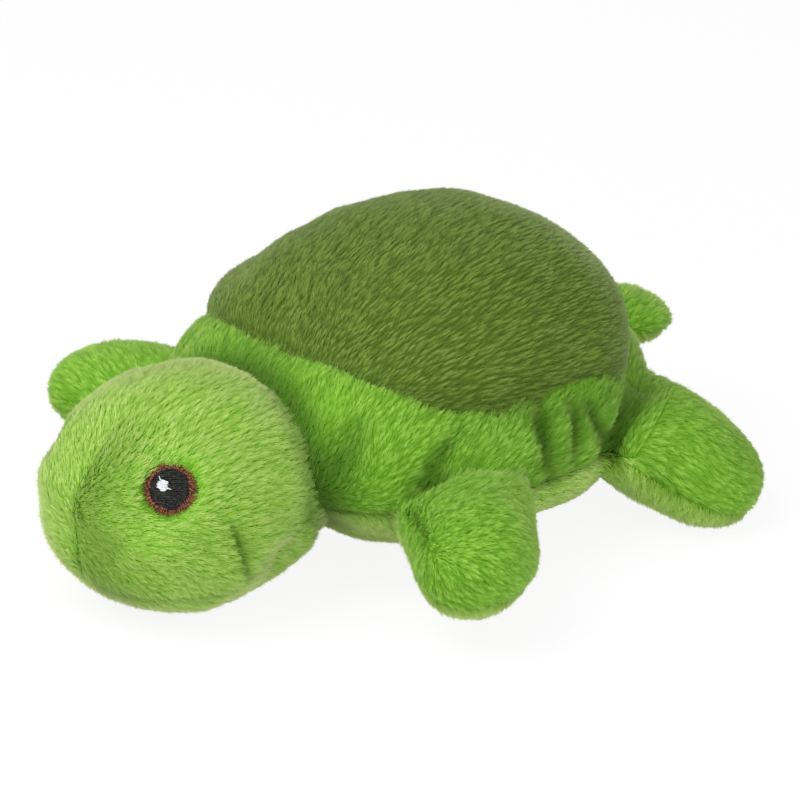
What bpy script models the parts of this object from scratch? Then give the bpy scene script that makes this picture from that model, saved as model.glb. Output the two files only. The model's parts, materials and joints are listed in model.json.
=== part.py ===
"""A small stuffed plush turtle, built as its sewn panels, its stuffing and its embroidered eyes.

Metres, +Z up. The head points along -Y and the turtle's left side is +X. The origin is on the
flat of the belly, which is what the toy lies on, straight under the middle of the shell.

The torso carries a neck pad that turns about the upright axis, and the pad carries the head,
which nods about the sideways axis. Each flipper and the tail swing on a hinge in the seam that
sews them to the torso. A root is a round knuckle about its own hinge line, so it stays clear of
the hollow around it while it swings.
"""

import math

import bmesh
import bpy
from mathutils import Matrix, Vector

# Cloth and sewing
CLOTH_THICKNESS = 0.0012      # backing and packed pile of one plush panel
SEAM_GAP = 0.0003             # between two pieces that touch
SEAM_OVERRUN = 0.0025         # how far a panel runs past its seam before it is trimmed
FLOOR_CUT = 0.0005            # depth of the flat on the belly
CUT_OVERRUN = 0.004           # how far a trimming block reaches past the shape it trims

# Body cushion: an ellipsoid
BODY_HALF_WIDTH = 0.047
BODY_HALF_LENGTH = 0.057
BODY_HALF_HEIGHT = 0.0265
BODY_FORWARD = 0.0055         # how far the cushion's middle lies in front of the shell's middle
BELLY_SEAM_HEIGHT = 0.0195    # seam between the side panel and the belly panel

# Shell: a domed panel sewn on the cushion
SHELL_HALF_WIDTH = 0.044
SHELL_HALF_LENGTH = 0.045
SHELL_RISE = 0.031            # top of the dome above its own widest line
SHELL_BASE_HEIGHT = 0.0355    # height of the dome's widest line
SHELL_TUCK = 0.006            # how far the panel runs below that line before it is trimmed

# Head: an ellipsoid in front of the neck
HEAD_HALF_WIDTH = 0.028
HEAD_HALF_LENGTH = 0.028
HEAD_HALF_HEIGHT = 0.024
HEAD_REACH = 0.0190           # from the neck's pivot forward to the head's middle
HEAD_DROP = 0.0005            # the head's middle hangs this much below the pivot
CHIN_SEAM_HEIGHT = 0.0097     # seam between the face panels and the chin panel

# Neck: two round hollows about one pivot, one for the turn and one for the nod
NECK_INSET = 0.0125           # pivot behind the front of the body cushion
NECK_HEIGHT = 0.0248
NECK_HALF_WIDTH = 0.0279
NECK_RADIUS = 0.0199          # nodding radius, also the half height of the turning hollow
NECK_PAD_SETBACK = 0.0095     # front edge of the pad behind the pivot

# Eyes: satin stitch, laid on the head
EYE_RADIUS = 0.0054
PUPIL_RADIUS = 0.0037
HIGHLIGHT_RADIUS = 0.0012
EYE_RING_THICKNESS = 0.0008
PUPIL_THICKNESS = 0.001
HIGHLIGHT_THICKNESS = 0.0004
EYE_SIDE = 0.0185             # eye's middle out from the head's middle plane
EYE_RISE = 0.0098             # eye's middle above the head's middle
HIGHLIGHT_SIDE = 0.0015       # highlight's middle forward of the pupil's middle
HIGHLIGHT_LIFT = 0.0006       # highlight's middle above the pupil's middle

# Front flippers: a knuckle in the seam and a paddle that swells towards its tip
FRONT_ROOT_PLACE = -0.0235    # knuckle's middle along Y from the cushion's middle
FRONT_ROOT_RADIUS = 0.0085
FRONT_ROOT_HALF_WIDTH = 0.0115
FRONT_REACH = 0.0325          # from the hinge line to the tip
FRONT_PADDLE_HALF_LENGTH = 0.0165
FRONT_PADDLE_HALF_WIDTH = 0.0135
FRONT_PADDLE_HALF_THICKNESS = 0.009
FRONT_SWAY = 0.0095           # the tip is swept this far towards the head
FRONT_DROOP = math.radians(0.0)

# Rear flippers
REAR_ROOT_PLACE = 0.0355
REAR_ROOT_RADIUS = 0.0092
REAR_ROOT_HALF_WIDTH = 0.0125
REAR_REACH = 0.0325
REAR_PADDLE_HALF_LENGTH = 0.0175
REAR_PADDLE_HALF_WIDTH = 0.015
REAR_PADDLE_HALF_THICKNESS = 0.0105
REAR_SWAY = 0.0
REAR_DROOP = math.radians(-27.0)

# Tail
TAIL_HEIGHT = 0.0285
TAIL_ROOT_RADIUS = 0.0046
TAIL_ROOT_HALF_WIDTH = 0.0085
TAIL_REACH = 0.0195
TAIL_PADDLE_HALF_LENGTH = 0.0105
TAIL_PADDLE_HALF_WIDTH = 0.0115
TAIL_PADDLE_HALF_THICKNESS = 0.0054
TAIL_DROOP = math.radians(8.0)

# Facets
BODY_SIDES = 22
BODY_RINGS = 12
HEAD_SIDES = 20
HEAD_RINGS = 13
LIMB_SIDES = 14
LIMB_RINGS = 10
TAIL_SIDES = 12
TAIL_RINGS = 8
NECK_CUP_SIDES = 20
NECK_CUP_RINGS = 10
LIMB_CUP_SIDES = 14
LIMB_CUP_RINGS = 8
EYE_SIDES = 20
EYE_STEPS = 1

# Derived places
BODY_CENTRE = Vector((0.0, -BODY_FORWARD, BODY_HALF_HEIGHT - FLOOR_CUT))
SHELL_CENTRE = Vector((0.0, 0.0, SHELL_BASE_HEIGHT))
LINING = CLOTH_THICKNESS + SEAM_GAP
HALF_GAP = SEAM_GAP / 2
NECK_PIVOT = Vector((0.0, BODY_CENTRE.y - BODY_HALF_LENGTH + NECK_INSET, NECK_HEIGHT))
HEAD_CENTRE = Vector((0.0, -HEAD_DROP, HEAD_REACH))                   # in the head's frame
HEAD_RADII = Vector((HEAD_HALF_WIDTH, HEAD_HALF_HEIGHT, HEAD_HALF_LENGTH))
BODY_RADII = Vector((BODY_HALF_WIDTH, BODY_HALF_LENGTH, BODY_HALF_HEIGHT))
SHELL_RADII = Vector((SHELL_HALF_WIDTH, SHELL_HALF_LENGTH, SHELL_RISE))
EVERY_WAY = Vector((1.0, 1.0, 1.0))
UPWARD = Vector((0.0, 0.0, 1.0))

# Colours: linear red, green, blue
LIGHT_GREEN = (0.20, 0.50, 0.055)
BELLY_GREEN = (0.26, 0.50, 0.095)
SHELL_GREEN = (0.10, 0.20, 0.035)
STUFFING_WHITE = (0.80, 0.80, 0.77)
RING_BROWN = (0.26, 0.055, 0.025)
PUPIL_BLACK = (0.008, 0.008, 0.009)
THREAD_WHITE = (0.75, 0.76, 0.78)

# Roughness
PILE_ROUGHNESS = 0.95
FILL_ROUGHNESS = 1.0
THREAD_ROUGHNESS = 0.6


def clear_scene():
    """Remove every object that the start-up scene holds."""
    for item in list(bpy.data.objects):
        bpy.data.objects.remove(item, do_unlink=True)


def make_collection(name):
    """Return a new collection linked to the scene."""
    collection = bpy.data.collections.new(name)
    bpy.context.scene.collection.children.link(collection)
    return collection


def make_material(name, colour, roughness):
    """Return a Principled material of one colour."""
    material = bpy.data.materials.new(name)
    material.use_nodes = True
    shader = material.node_tree.nodes["Principled BSDF"]
    shader.inputs["Base Color"].default_value = (*colour, 1.0)
    shader.inputs["Roughness"].default_value = roughness
    shader.inputs["Metallic"].default_value = 0.0
    material.diffuse_color = (*colour, 1.0)
    return material


clear_scene()
TURTLE = make_collection("plush_turtle")
CUTTERS = make_collection("cutters")
PLUSH_LIGHT = make_material("plush_light_green", LIGHT_GREEN, PILE_ROUGHNESS)
PLUSH_BELLY = make_material("plush_belly_green", BELLY_GREEN, PILE_ROUGHNESS)
PLUSH_SHELL = make_material("plush_shell_green", SHELL_GREEN, PILE_ROUGHNESS)
STUFFING = make_material("stuffing", STUFFING_WHITE, FILL_ROUGHNESS)
THREAD_RING = make_material("thread_ring_brown", RING_BROWN, THREAD_ROUGHNESS)
THREAD_PUPIL = make_material("thread_pupil_black", PUPIL_BLACK, THREAD_ROUGHNESS)
THREAD_LIGHT = make_material("thread_highlight_white", THREAD_WHITE, THREAD_ROUGHNESS)


def place(name, mesh, collection, material=None, matrix=None, parent=None):
    """Put a mesh into the scene as a named object and return it."""
    for polygon in mesh.polygons:
        polygon.use_smooth = True
    item = bpy.data.objects.new(name, mesh)
    collection.objects.link(item)
    if material is not None:
        mesh.materials.append(material)
    if parent is not None:
        item.parent = parent
    elif matrix is not None:
        item.matrix_world = matrix
    return item


def as_cutter(item):
    """Mark an object as a cutter: drawn as wire and left out of the toy."""
    item.hide_render = True
    item.display_type = "WIRE"
    return item


def mesh_from(bm, name):
    """Turn a bmesh into a mesh."""
    mesh = bpy.data.meshes.new(name)
    bm.to_mesh(mesh)
    bm.free()
    return mesh


def ellipsoid(radii, centre, sides, rings):
    """Return a bmesh of an ellipsoid whose poles are up and down."""
    bm = bmesh.new()
    bmesh.ops.create_uvsphere(bm, u_segments=sides, v_segments=rings, radius=1.0)
    bmesh.ops.scale(bm, vec=radii, verts=bm.verts)
    bmesh.ops.translate(bm, vec=centre, verts=bm.verts)
    return bm


def keep_side(bm, point, normal):
    """Cut a bmesh open at a plane and keep what lies on the normal's side."""
    bmesh.ops.bisect_plane(
        bm,
        geom=bm.verts[:] + bm.edges[:] + bm.faces[:],
        plane_co=point,
        plane_no=normal,
        clear_inner=True,
    )
    return bm


def facet_growth(sides, rings):
    """Share by which a faceted hollow grows so that its flats clear the round shape."""
    return 1 / (math.cos(math.pi / sides) * math.cos(math.pi / (2 * rings)))


def grow(radii, distance):
    """Return radii that are longer by a distance on each axis."""
    return radii + EVERY_WAY * distance


def block(name, low, high, matrix=None, parent=None):
    """Return a trimming block between two corners."""
    bm = bmesh.new()
    bmesh.ops.create_cube(bm, size=1.0)
    low, high = Vector(low), Vector(high)
    bmesh.ops.scale(bm, vec=high - low, verts=bm.verts)
    bmesh.ops.translate(bm, vec=(low + high) / 2, verts=bm.verts)
    return as_cutter(place(name, mesh_from(bm, name), CUTTERS, matrix=matrix, parent=parent))


def subtract(item, *cutters):
    """Cut each cutter away from an object."""
    for cutter in cutters:
        cut = item.modifiers.new("cut_" + cutter.name, "BOOLEAN")
        cut.operation = "DIFFERENCE"
        cut.solver = "EXACT"
        cut.object = cutter
    return item


def thicken(item, thickness=CLOTH_THICKNESS, offset=-1.0):
    """Give an open surface the thickness of cloth, inward unless told otherwise."""
    solid = item.modifiers.new("cloth", "SOLIDIFY")
    solid.thickness = thickness
    solid.offset = offset
    solid.use_even_offset = True
    return item


def hinge_frame(name, origin, along, upward):
    """Return an empty on a hinge: X is the hinge line, Y the upper side, Z along the limb."""
    along = along.normalized()
    sideways = upward.cross(along).normalized()
    up = along.cross(sideways)
    turn = Matrix((sideways, up, along)).transposed().to_4x4()
    empty = bpy.data.objects.new(name, None)
    empty.empty_display_size = CUT_OVERRUN
    TURTLE.objects.link(empty)
    empty.matrix_world = Matrix.Translation(origin) @ turn
    return empty


def ellipse_share(place_along, middle, half_length):
    """Share of the full section that an ellipse has at a place along it, zero outside it."""
    reach = (place_along - middle) / half_length
    return math.sqrt(max(0.0, 1.0 - reach * reach))


def stuffed_sections(knuckle, paddle, count):
    """Sections of a stuffed limb: a knuckle round the hinge, then a paddle that swells.

    The knuckle is (radius, half_width) and the paddle is (tip, half_length, half_width,
    half_thickness, sway). Each section is (along, half_width, half_thickness, sway, lift), and
    at each place the larger of the two shapes counts, so a waist forms where they meet. The
    sway grows from the knuckle's outer side to the tip.
    """
    radius, half_width = knuckle
    tip, half_length, paddle_width, paddle_thickness, sway = paddle
    middle = tip - half_length
    sections = []
    for step in range(count + 1):
        share = step / count
        along = -radius + (tip + radius) * (1 - math.cos(math.pi * share)) / 2
        root = ellipse_share(along, 0.0, radius)
        swell = ellipse_share(along, middle, half_length)
        width = max(root * half_width, swell * paddle_width)
        thickness = max(root * radius, swell * paddle_thickness)
        bend = max(0.0, (along - radius) / (tip - radius))
        sections.append((along, width, thickness, sway * bend, 0.0))
    return sections


def stuffed_form(sections, sides):
    """Reshape a sphere, ring by ring, to elliptical sections along its poles' axis."""
    rings = len(sections) - 1
    bm = bmesh.new()
    bmesh.ops.create_uvsphere(bm, u_segments=sides, v_segments=rings, radius=1.0)
    for vertex in bm.verts:
        polar = math.acos(max(-1.0, min(1.0, -vertex.co.z)))
        ring = round(polar * rings / math.pi)
        along, width, thickness, sway, lift = sections[ring]
        around = Vector((vertex.co.x, vertex.co.y))
        if around.length > 0.0 and 0 < ring < rings:
            around.normalize()
        else:
            around = Vector((0.0, 0.0))
        vertex.co = Vector((around.x * width + sway, around.y * thickness + lift, along))
    return bm


def lined(bm):
    """Draw a closed form in by the cloth and its gap, for the stuffing inside it."""
    bm.normal_update()
    moves = [(vertex, vertex.normal * vertex.calc_shell_factor() * LINING) for vertex in bm.verts]
    for vertex, move in moves:
        vertex.co -= move
    return bm


def limb_panels(name, frame, knuckle, paddle, sides, rings):
    """Make a limb's top panel, underside panel and stuffing on its hinge."""
    tip = paddle[0]
    reach = tip + knuckle[0] + CUT_OVERRUN
    span = max(knuckle[1], paddle[2]) + abs(paddle[4]) + CUT_OVERRUN
    depth = max(knuckle[0], paddle[3]) + CUT_OVERRUN
    low = block(
        name + "_under_block", (-span, -depth, -reach), (span, HALF_GAP, reach), parent=frame
    )
    high = block(
        name + "_top_block", (-span, -HALF_GAP, -reach), (span, depth, reach), parent=frame
    )
    sections = stuffed_sections(knuckle, paddle, rings)
    for part, side, trim in (("_top_panel", 1.0, low), ("_underside_panel", -1.0, high)):
        bm = stuffed_form(sections, sides)
        normal = Vector((0.0, side, 0.0))
        keep_side(bm, -normal * SEAM_OVERRUN, normal)
        item = place(name + part, mesh_from(bm, name + part), TURTLE, PLUSH_LIGHT, parent=frame)
        subtract(thicken(item), trim)
    inner = lined(stuffed_form(sections, sides))
    mesh = mesh_from(inner, name + "_stuffing")
    place(name + "_stuffing", mesh, TURTLE, STUFFING, parent=frame)


def hollow(name, radii, sides, rings, parent=None, matrix=None):
    """Return a cutter for the round hollow that a knuckle turns in."""
    clear = grow(radii, SEAM_GAP) * facet_growth(sides, rings)
    bm = ellipsoid(clear, Vector((0.0, 0.0, 0.0)), sides, rings)
    return as_cutter(place(name, mesh_from(bm, name), CUTTERS, parent=parent, matrix=matrix))


def seam_point(height, along):
    """Point on the body cushion's outside at a height and a place along Y from its middle."""
    level = ellipse_share(height, BODY_CENTRE.z, BODY_HALF_HEIGHT)
    side = ellipse_share(along, 0.0, BODY_HALF_LENGTH * level)
    return Vector((BODY_HALF_WIDTH * level * side, BODY_CENTRE.y + along, height))


def seam_heading(height, along, droop):
    """Direction square to the cushion's outline at a seam point, its tip raised by the droop."""
    point = seam_point(height, along)
    across = Vector((
        point.x / (BODY_HALF_WIDTH * BODY_HALF_WIDTH),
        (point.y - BODY_CENTRE.y) / (BODY_HALF_LENGTH * BODY_HALF_LENGTH),
        0.0,
    )).normalized()
    return across * math.cos(droop) + UPWARD * math.sin(droop)


def build_flippers():
    """Make the four flippers and return the hollows that their knuckles need."""
    front = (
        FRONT_ROOT_PLACE,
        FRONT_DROOP,
        (FRONT_ROOT_RADIUS, FRONT_ROOT_HALF_WIDTH),
        (FRONT_REACH, FRONT_PADDLE_HALF_LENGTH, FRONT_PADDLE_HALF_WIDTH,
         FRONT_PADDLE_HALF_THICKNESS, -FRONT_SWAY),
    )
    rear = (
        REAR_ROOT_PLACE,
        REAR_DROOP,
        (REAR_ROOT_RADIUS, REAR_ROOT_HALF_WIDTH),
        (REAR_REACH, REAR_PADDLE_HALF_LENGTH, REAR_PADDLE_HALF_WIDTH,
         REAR_PADDLE_HALF_THICKNESS, REAR_SWAY),
    )
    hollows = []
    for hand, side in (("left", 1.0), ("right", -1.0)):
        for pair, (along, droop, knuckle, paddle) in (("front", front), ("rear", rear)):
            root = seam_point(BELLY_SEAM_HEIGHT, along)
            heading = seam_heading(BELLY_SEAM_HEIGHT, along, droop)
            root.x *= side
            heading.x *= side
            name = pair + "_" + hand + "_flipper"
            frame = hinge_frame(name + "_hinge", root, heading, UPWARD)
            swayed = paddle[:4] + (paddle[4] * side,)
            limb_panels(name, frame, knuckle, swayed, LIMB_SIDES, LIMB_RINGS)
            radii = Vector((knuckle[1], knuckle[0], knuckle[0]))
            hollows.append(
                hollow(name + "_hollow", radii, LIMB_CUP_SIDES, LIMB_CUP_RINGS, parent=frame)
            )
    return hollows


def build_tail():
    """Make the tail and return the hollow that its knuckle needs."""
    level = ellipse_share(TAIL_HEIGHT, BODY_CENTRE.z, BODY_HALF_HEIGHT)
    root = Vector((0.0, BODY_CENTRE.y + BODY_HALF_LENGTH * level, TAIL_HEIGHT))
    heading = Vector((0.0, math.cos(TAIL_DROOP), math.sin(TAIL_DROOP)))
    frame = hinge_frame("tail_hinge", root, heading, UPWARD)
    knuckle = (TAIL_ROOT_RADIUS, TAIL_ROOT_HALF_WIDTH)
    paddle = (TAIL_REACH, TAIL_PADDLE_HALF_LENGTH, TAIL_PADDLE_HALF_WIDTH,
              TAIL_PADDLE_HALF_THICKNESS, 0.0)
    limb_panels("tail", frame, knuckle, paddle, TAIL_SIDES, TAIL_RINGS)
    radii = Vector((knuckle[1], knuckle[0], knuckle[0]))
    return hollow("tail_hollow", radii, LIMB_CUP_SIDES, LIMB_CUP_RINGS, parent=frame)


def build_neck():
    """Make the neck pad and return the hollows for its turn and for the head's nod."""
    turning = Vector((NECK_HALF_WIDTH, NECK_HALF_WIDTH, NECK_RADIUS))
    nodding = Vector((NECK_HALF_WIDTH, NECK_RADIUS, NECK_RADIUS))
    matrix = Matrix.Translation(NECK_PIVOT)
    cup = (NECK_CUP_SIDES, NECK_CUP_RINGS)
    turn_hollow = hollow("neck_turn_hollow", turning, *cup, matrix=matrix)
    nod_hollow = hollow("neck_nod_hollow", nodding, *cup, matrix=matrix)
    reach = NECK_HALF_WIDTH + CUT_OVERRUN
    front = block(
        "neck_front_block", (-reach, -reach, -reach), (reach, NECK_PAD_SETBACK, reach),
        matrix=matrix,
    )
    bm = ellipsoid(turning, Vector((0.0, 0.0, 0.0)), *cup)
    pad = place("neck_pad", mesh_from(bm, "neck_pad"), TURTLE, STUFFING, matrix=matrix)
    subtract(pad, nod_hollow, front)
    return turn_hollow


def build_torso(turn_hollow, limb_hollows):
    """Make the shell panel, the side panel, the belly panel and the stuffing between them."""
    around = BODY_RADII + EVERY_WAY * CUT_OVERRUN
    cushion = as_cutter(place(
        "cushion_form",
        mesh_from(ellipsoid(grow(BODY_RADII, SEAM_GAP), BODY_CENTRE, BODY_SIDES, BODY_RINGS),
                  "cushion_form"),
        CUTTERS,
    ))
    dome = as_cutter(place(
        "dome_form",
        mesh_from(ellipsoid(grow(SHELL_RADII, SEAM_GAP), SHELL_CENTRE, BODY_SIDES, BODY_RINGS),
                  "dome_form"),
        CUTTERS,
    ))
    below = block(
        "belly_block",
        (-around.x, BODY_CENTRE.y - around.y, -CUT_OVERRUN),
        (around.x, BODY_CENTRE.y + around.y, BELLY_SEAM_HEIGHT + HALF_GAP),
    )
    above = block(
        "side_block",
        (-around.x, BODY_CENTRE.y - around.y, BELLY_SEAM_HEIGHT - HALF_GAP),
        (around.x, BODY_CENTRE.y + around.y, BODY_CENTRE.z + around.z),
    )
    floor = block(
        "floor_block",
        (-around.x, BODY_CENTRE.y - around.y, -CUT_OVERRUN),
        (around.x, BODY_CENTRE.y + around.y, 0.0),
    )

    shell = keep_side(
        ellipsoid(SHELL_RADII, SHELL_CENTRE, BODY_SIDES, BODY_RINGS),
        SHELL_CENTRE - UPWARD * SHELL_TUCK,
        UPWARD,
    )
    item = place("shell_panel", mesh_from(shell, "shell_panel"), TURTLE, PLUSH_SHELL)
    subtract(thicken(item), cushion)

    side = keep_side(
        ellipsoid(BODY_RADII, BODY_CENTRE, BODY_SIDES, BODY_RINGS),
        UPWARD * (BELLY_SEAM_HEIGHT - SEAM_OVERRUN),
        UPWARD,
    )
    item = place("side_panel", mesh_from(side, "side_panel"), TURTLE, PLUSH_LIGHT)
    subtract(thicken(item), dome, below, turn_hollow, *limb_hollows)

    belly = keep_side(
        ellipsoid(BODY_RADII, BODY_CENTRE, BODY_SIDES, BODY_RINGS),
        UPWARD * (BELLY_SEAM_HEIGHT + SEAM_OVERRUN),
        -UPWARD,
    )
    item = place("belly_panel", mesh_from(belly, "belly_panel"), TURTLE, PLUSH_BELLY)
    subtract(thicken(item), above, floor, turn_hollow, *limb_hollows)

    lined_body = grow(BODY_RADII, -LINING)
    lined_dome = grow(SHELL_RADII, -LINING)
    inner_dome = as_cutter(place(
        "dome_stuffing_form",
        mesh_from(ellipsoid(lined_dome, SHELL_CENTRE, BODY_SIDES, BODY_RINGS),
                  "dome_stuffing_form"),
        CUTTERS,
    ))
    bm = ellipsoid(lined_body, BODY_CENTRE, BODY_SIDES, BODY_RINGS)
    item = place("body_stuffing", mesh_from(bm, "body_stuffing"), TURTLE, STUFFING)
    join = item.modifiers.new("dome", "BOOLEAN")
    join.operation = "UNION"
    join.solver = "EXACT"
    join.object = inner_dome
    subtract(item, turn_hollow, *limb_hollows)


def head_sections(count):
    """Sections of the head along the nose line, measured from the neck's pivot.

    The front is the head's ellipsoid and the back is the neck's nodding knuckle.
    """
    nose = HEAD_REACH + HEAD_HALF_LENGTH
    sections = []
    for step in range(count + 1):
        share = step / count
        along = -NECK_RADIUS + (nose + NECK_RADIUS) * (1 - math.cos(math.pi * share)) / 2
        back = ellipse_share(along, 0.0, NECK_RADIUS)
        front = ellipse_share(along, HEAD_REACH, HEAD_HALF_LENGTH)
        width = max(back * NECK_HALF_WIDTH, front * HEAD_HALF_WIDTH)
        height = max(back * NECK_RADIUS, front * HEAD_HALF_HEIGHT)
        blend = min(1.0, max(0.0, along / HEAD_REACH))
        sections.append((along, width, height, 0.0, -HEAD_DROP * blend))
    return sections


def head_frame():
    """Return the empty on the nod's axis: X to the turtle's left, Y up, Z towards the nose."""
    return hinge_frame("head_hinge", NECK_PIVOT, Vector((0.0, -1.0, 0.0)), UPWARD)


def build_head(frame):
    """Make the two face panels, the chin panel and the stuffing of the head."""
    reach = HEAD_REACH + HEAD_HALF_LENGTH + CUT_OVERRUN
    span = HEAD_HALF_WIDTH + CUT_OVERRUN
    depth = HEAD_HALF_HEIGHT + HEAD_DROP + CUT_OVERRUN
    seam = CHIN_SEAM_HEIGHT - NECK_HEIGHT
    chin = block(
        "head_chin_block", (-span, -depth, -reach), (span, seam + HALF_GAP, reach), parent=frame
    )
    face = block(
        "head_face_block", (-span, seam - HALF_GAP, -reach), (span, depth, reach), parent=frame
    )
    right = block(
        "head_right_block", (-span, -depth, -reach), (HALF_GAP, depth, reach), parent=frame
    )
    left = block(
        "head_left_block", (-HALF_GAP, -depth, -reach), (span, depth, reach), parent=frame
    )
    sections = head_sections(HEAD_RINGS)
    upward = Vector((0.0, 1.0, 0.0))
    for hand, side, other in (("left", 1.0, right), ("right", -1.0, left)):
        name = "head_" + hand + "_panel"
        outward = Vector((side, 0.0, 0.0))
        bm = stuffed_form(sections, HEAD_SIDES)
        keep_side(bm, -outward * SEAM_OVERRUN, outward)
        keep_side(bm, upward * (seam - SEAM_OVERRUN), upward)
        item = place(name, mesh_from(bm, name), TURTLE, PLUSH_LIGHT, parent=frame)
        subtract(thicken(item), other, chin)
    bm = stuffed_form(sections, HEAD_SIDES)
    keep_side(bm, upward * (seam + SEAM_OVERRUN), -upward)
    item = place("head_chin_panel", mesh_from(bm, "head_chin_panel"), TURTLE, PLUSH_LIGHT,
                 parent=frame)
    subtract(thicken(item), face)
    bm = lined(stuffed_form(sections, HEAD_SIDES))
    place("head_stuffing", mesh_from(bm, "head_stuffing"), TURTLE, STUFFING, parent=frame)


def on_head(point, lift):
    """Move a point in the head's frame straight out to the head's surface, plus a lift."""
    radii = grow(HEAD_RADII, lift)
    ray = point - HEAD_CENTRE
    scaled = Vector((ray.x / radii.x, ray.y / radii.y, ray.z / radii.z))
    return HEAD_CENTRE + ray / scaled.length


def eye_middle(side):
    """Point on the head's surface, in the head's frame, where an eye is embroidered."""
    across = EYE_SIDE / HEAD_HALF_WIDTH
    upward = EYE_RISE / HEAD_HALF_HEIGHT
    forward = HEAD_HALF_LENGTH * math.sqrt(max(0.0, 1.0 - across * across - upward * upward))
    return HEAD_CENTRE + Vector((side * EYE_SIDE, EYE_RISE, forward))


def stitched_patch(name, radii, offset, side, lift, thickness, material, frame):
    """Lay a ring or a disc of satin stitch on the head and raise it by its thickness.

    The radii are the inner and the outer one, and the offset is the patch's middle, sideways
    and upwards from the eye's middle.
    """
    inner, outer = radii
    middle = eye_middle(side)
    out = (middle - HEAD_CENTRE).normalized()
    across = Vector((0.0, 1.0, 0.0)).cross(out).normalized()
    over = out.cross(across)
    bm = bmesh.new()
    line = [
        bm.verts.new((inner + (outer - inner) * step / EYE_STEPS, 0.0, 0.0))
        for step in range(EYE_STEPS + 1)
    ]
    edges = [bm.edges.new(pair) for pair in zip(line, line[1:])]
    bmesh.ops.spin(
        bm,
        geom=line + edges,
        axis=(0.0, 0.0, 1.0),
        cent=(0.0, 0.0, 0.0),
        steps=EYE_SIDES,
        angle=math.tau,
        use_merge=True,
    )
    bmesh.ops.remove_doubles(bm, verts=bm.verts, dist=SEAM_GAP / 10)
    for vertex in bm.verts:
        shift_side = vertex.co.x + side * offset[0]
        shift_up = vertex.co.y + offset[1]
        flat = middle + across * shift_side + over * shift_up
        vertex.co = on_head(flat, lift)
    bm.normal_update()
    inward = [
        face for face in bm.faces
        if face.normal.dot(face.calc_center_median() - HEAD_CENTRE) < 0.0
    ]
    bmesh.ops.reverse_faces(bm, faces=inward)
    item = place(name, mesh_from(bm, name), TURTLE, material, parent=frame)
    thicken(item, thickness, 1.0)


def build_eyes(frame):
    """Embroider the two eyes: a brown ring, a black pupil and a white highlight on it."""
    for hand, side in (("left", 1.0), ("right", -1.0)):
        name = "eye_" + hand
        stitched_patch(
            name + "_ring", (PUPIL_RADIUS + SEAM_GAP, EYE_RADIUS), (0.0, 0.0), side,
            SEAM_GAP, EYE_RING_THICKNESS, THREAD_RING, frame,
        )
        stitched_patch(
            name + "_pupil", (0.0, PUPIL_RADIUS), (0.0, 0.0), side,
            SEAM_GAP, PUPIL_THICKNESS, THREAD_PUPIL, frame,
        )
        stitched_patch(
            name + "_highlight", (0.0, HIGHLIGHT_RADIUS), (-HIGHLIGHT_SIDE, HIGHLIGHT_LIFT),
            side, SEAM_GAP + PUPIL_THICKNESS + SEAM_GAP, HIGHLIGHT_THICKNESS, THREAD_LIGHT,
            frame,
        )


def main():
    """Build the whole toy."""
    limb_hollows = build_flippers()
    limb_hollows.append(build_tail())
    turn_hollow = build_neck()
    build_torso(turn_hollow, limb_hollows)
    frame = head_frame()
    build_head(frame)
    build_eyes(frame)
    bpy.context.view_layer.update()


main()
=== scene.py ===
"""The looks of a small stuffed plush turtle: its filled skins, its pile and its embroidered eyes.

Metres, +Z up, the head towards -Y and the turtle's left side at +X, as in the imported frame. Each
stuffed form is a smooth closed skin a little inside the frame's panels, and the pile that grows
on it, thousands of fine tapered tufts combed along the cloth, reaches to where the panels are.
"""

import json
import logging
import math
from collections.abc import Callable
from dataclasses import dataclass, field
from enum import Enum

import bmesh
import bpy
import numpy as np
from mathutils import Matrix, Vector


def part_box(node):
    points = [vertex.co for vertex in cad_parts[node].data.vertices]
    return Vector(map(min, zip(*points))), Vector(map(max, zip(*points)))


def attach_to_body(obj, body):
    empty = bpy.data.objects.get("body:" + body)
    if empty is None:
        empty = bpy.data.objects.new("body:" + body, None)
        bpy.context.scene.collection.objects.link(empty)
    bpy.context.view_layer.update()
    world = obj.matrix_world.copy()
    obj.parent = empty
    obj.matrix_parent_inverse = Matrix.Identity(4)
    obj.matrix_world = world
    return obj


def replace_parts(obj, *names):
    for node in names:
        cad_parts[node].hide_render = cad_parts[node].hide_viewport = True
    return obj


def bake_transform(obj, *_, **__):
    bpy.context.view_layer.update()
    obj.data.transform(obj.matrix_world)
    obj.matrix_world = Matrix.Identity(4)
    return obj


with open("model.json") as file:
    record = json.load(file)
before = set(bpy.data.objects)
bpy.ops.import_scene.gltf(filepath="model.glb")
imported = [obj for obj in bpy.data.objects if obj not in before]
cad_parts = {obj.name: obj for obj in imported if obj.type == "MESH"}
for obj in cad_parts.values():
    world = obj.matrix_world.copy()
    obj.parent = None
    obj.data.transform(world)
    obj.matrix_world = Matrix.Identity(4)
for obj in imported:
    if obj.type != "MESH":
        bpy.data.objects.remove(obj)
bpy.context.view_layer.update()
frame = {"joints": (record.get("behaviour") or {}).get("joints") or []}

LOG = logging.getLogger("plush_turtle")
UP = Vector((0.0, 0.0, 1.0))
PILE_MAP = "OFBake"

Colour = tuple[float, float, float]
Pair = tuple[float, float]
Triple = tuple[float, float, float]
Noise = tuple[float, float, float, float]
Points = np.ndarray
Comb = Callable[[Points, Points], Points]
Rule = Callable[[Points], Points]


class Side(Enum):
    """The turtle's two sides, by the sign of X."""

    LEFT = 1.0
    RIGHT = -1.0

    @property
    def word(self) -> str:
        """Name of the side as the frame's nodes have it."""
        return self.name.lower()

    def holds(self, co: Points) -> Points:
        """Say which places lie on this side."""
        return co[:, 0] * self.value > 0.0


# Node trees as expressions


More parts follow.
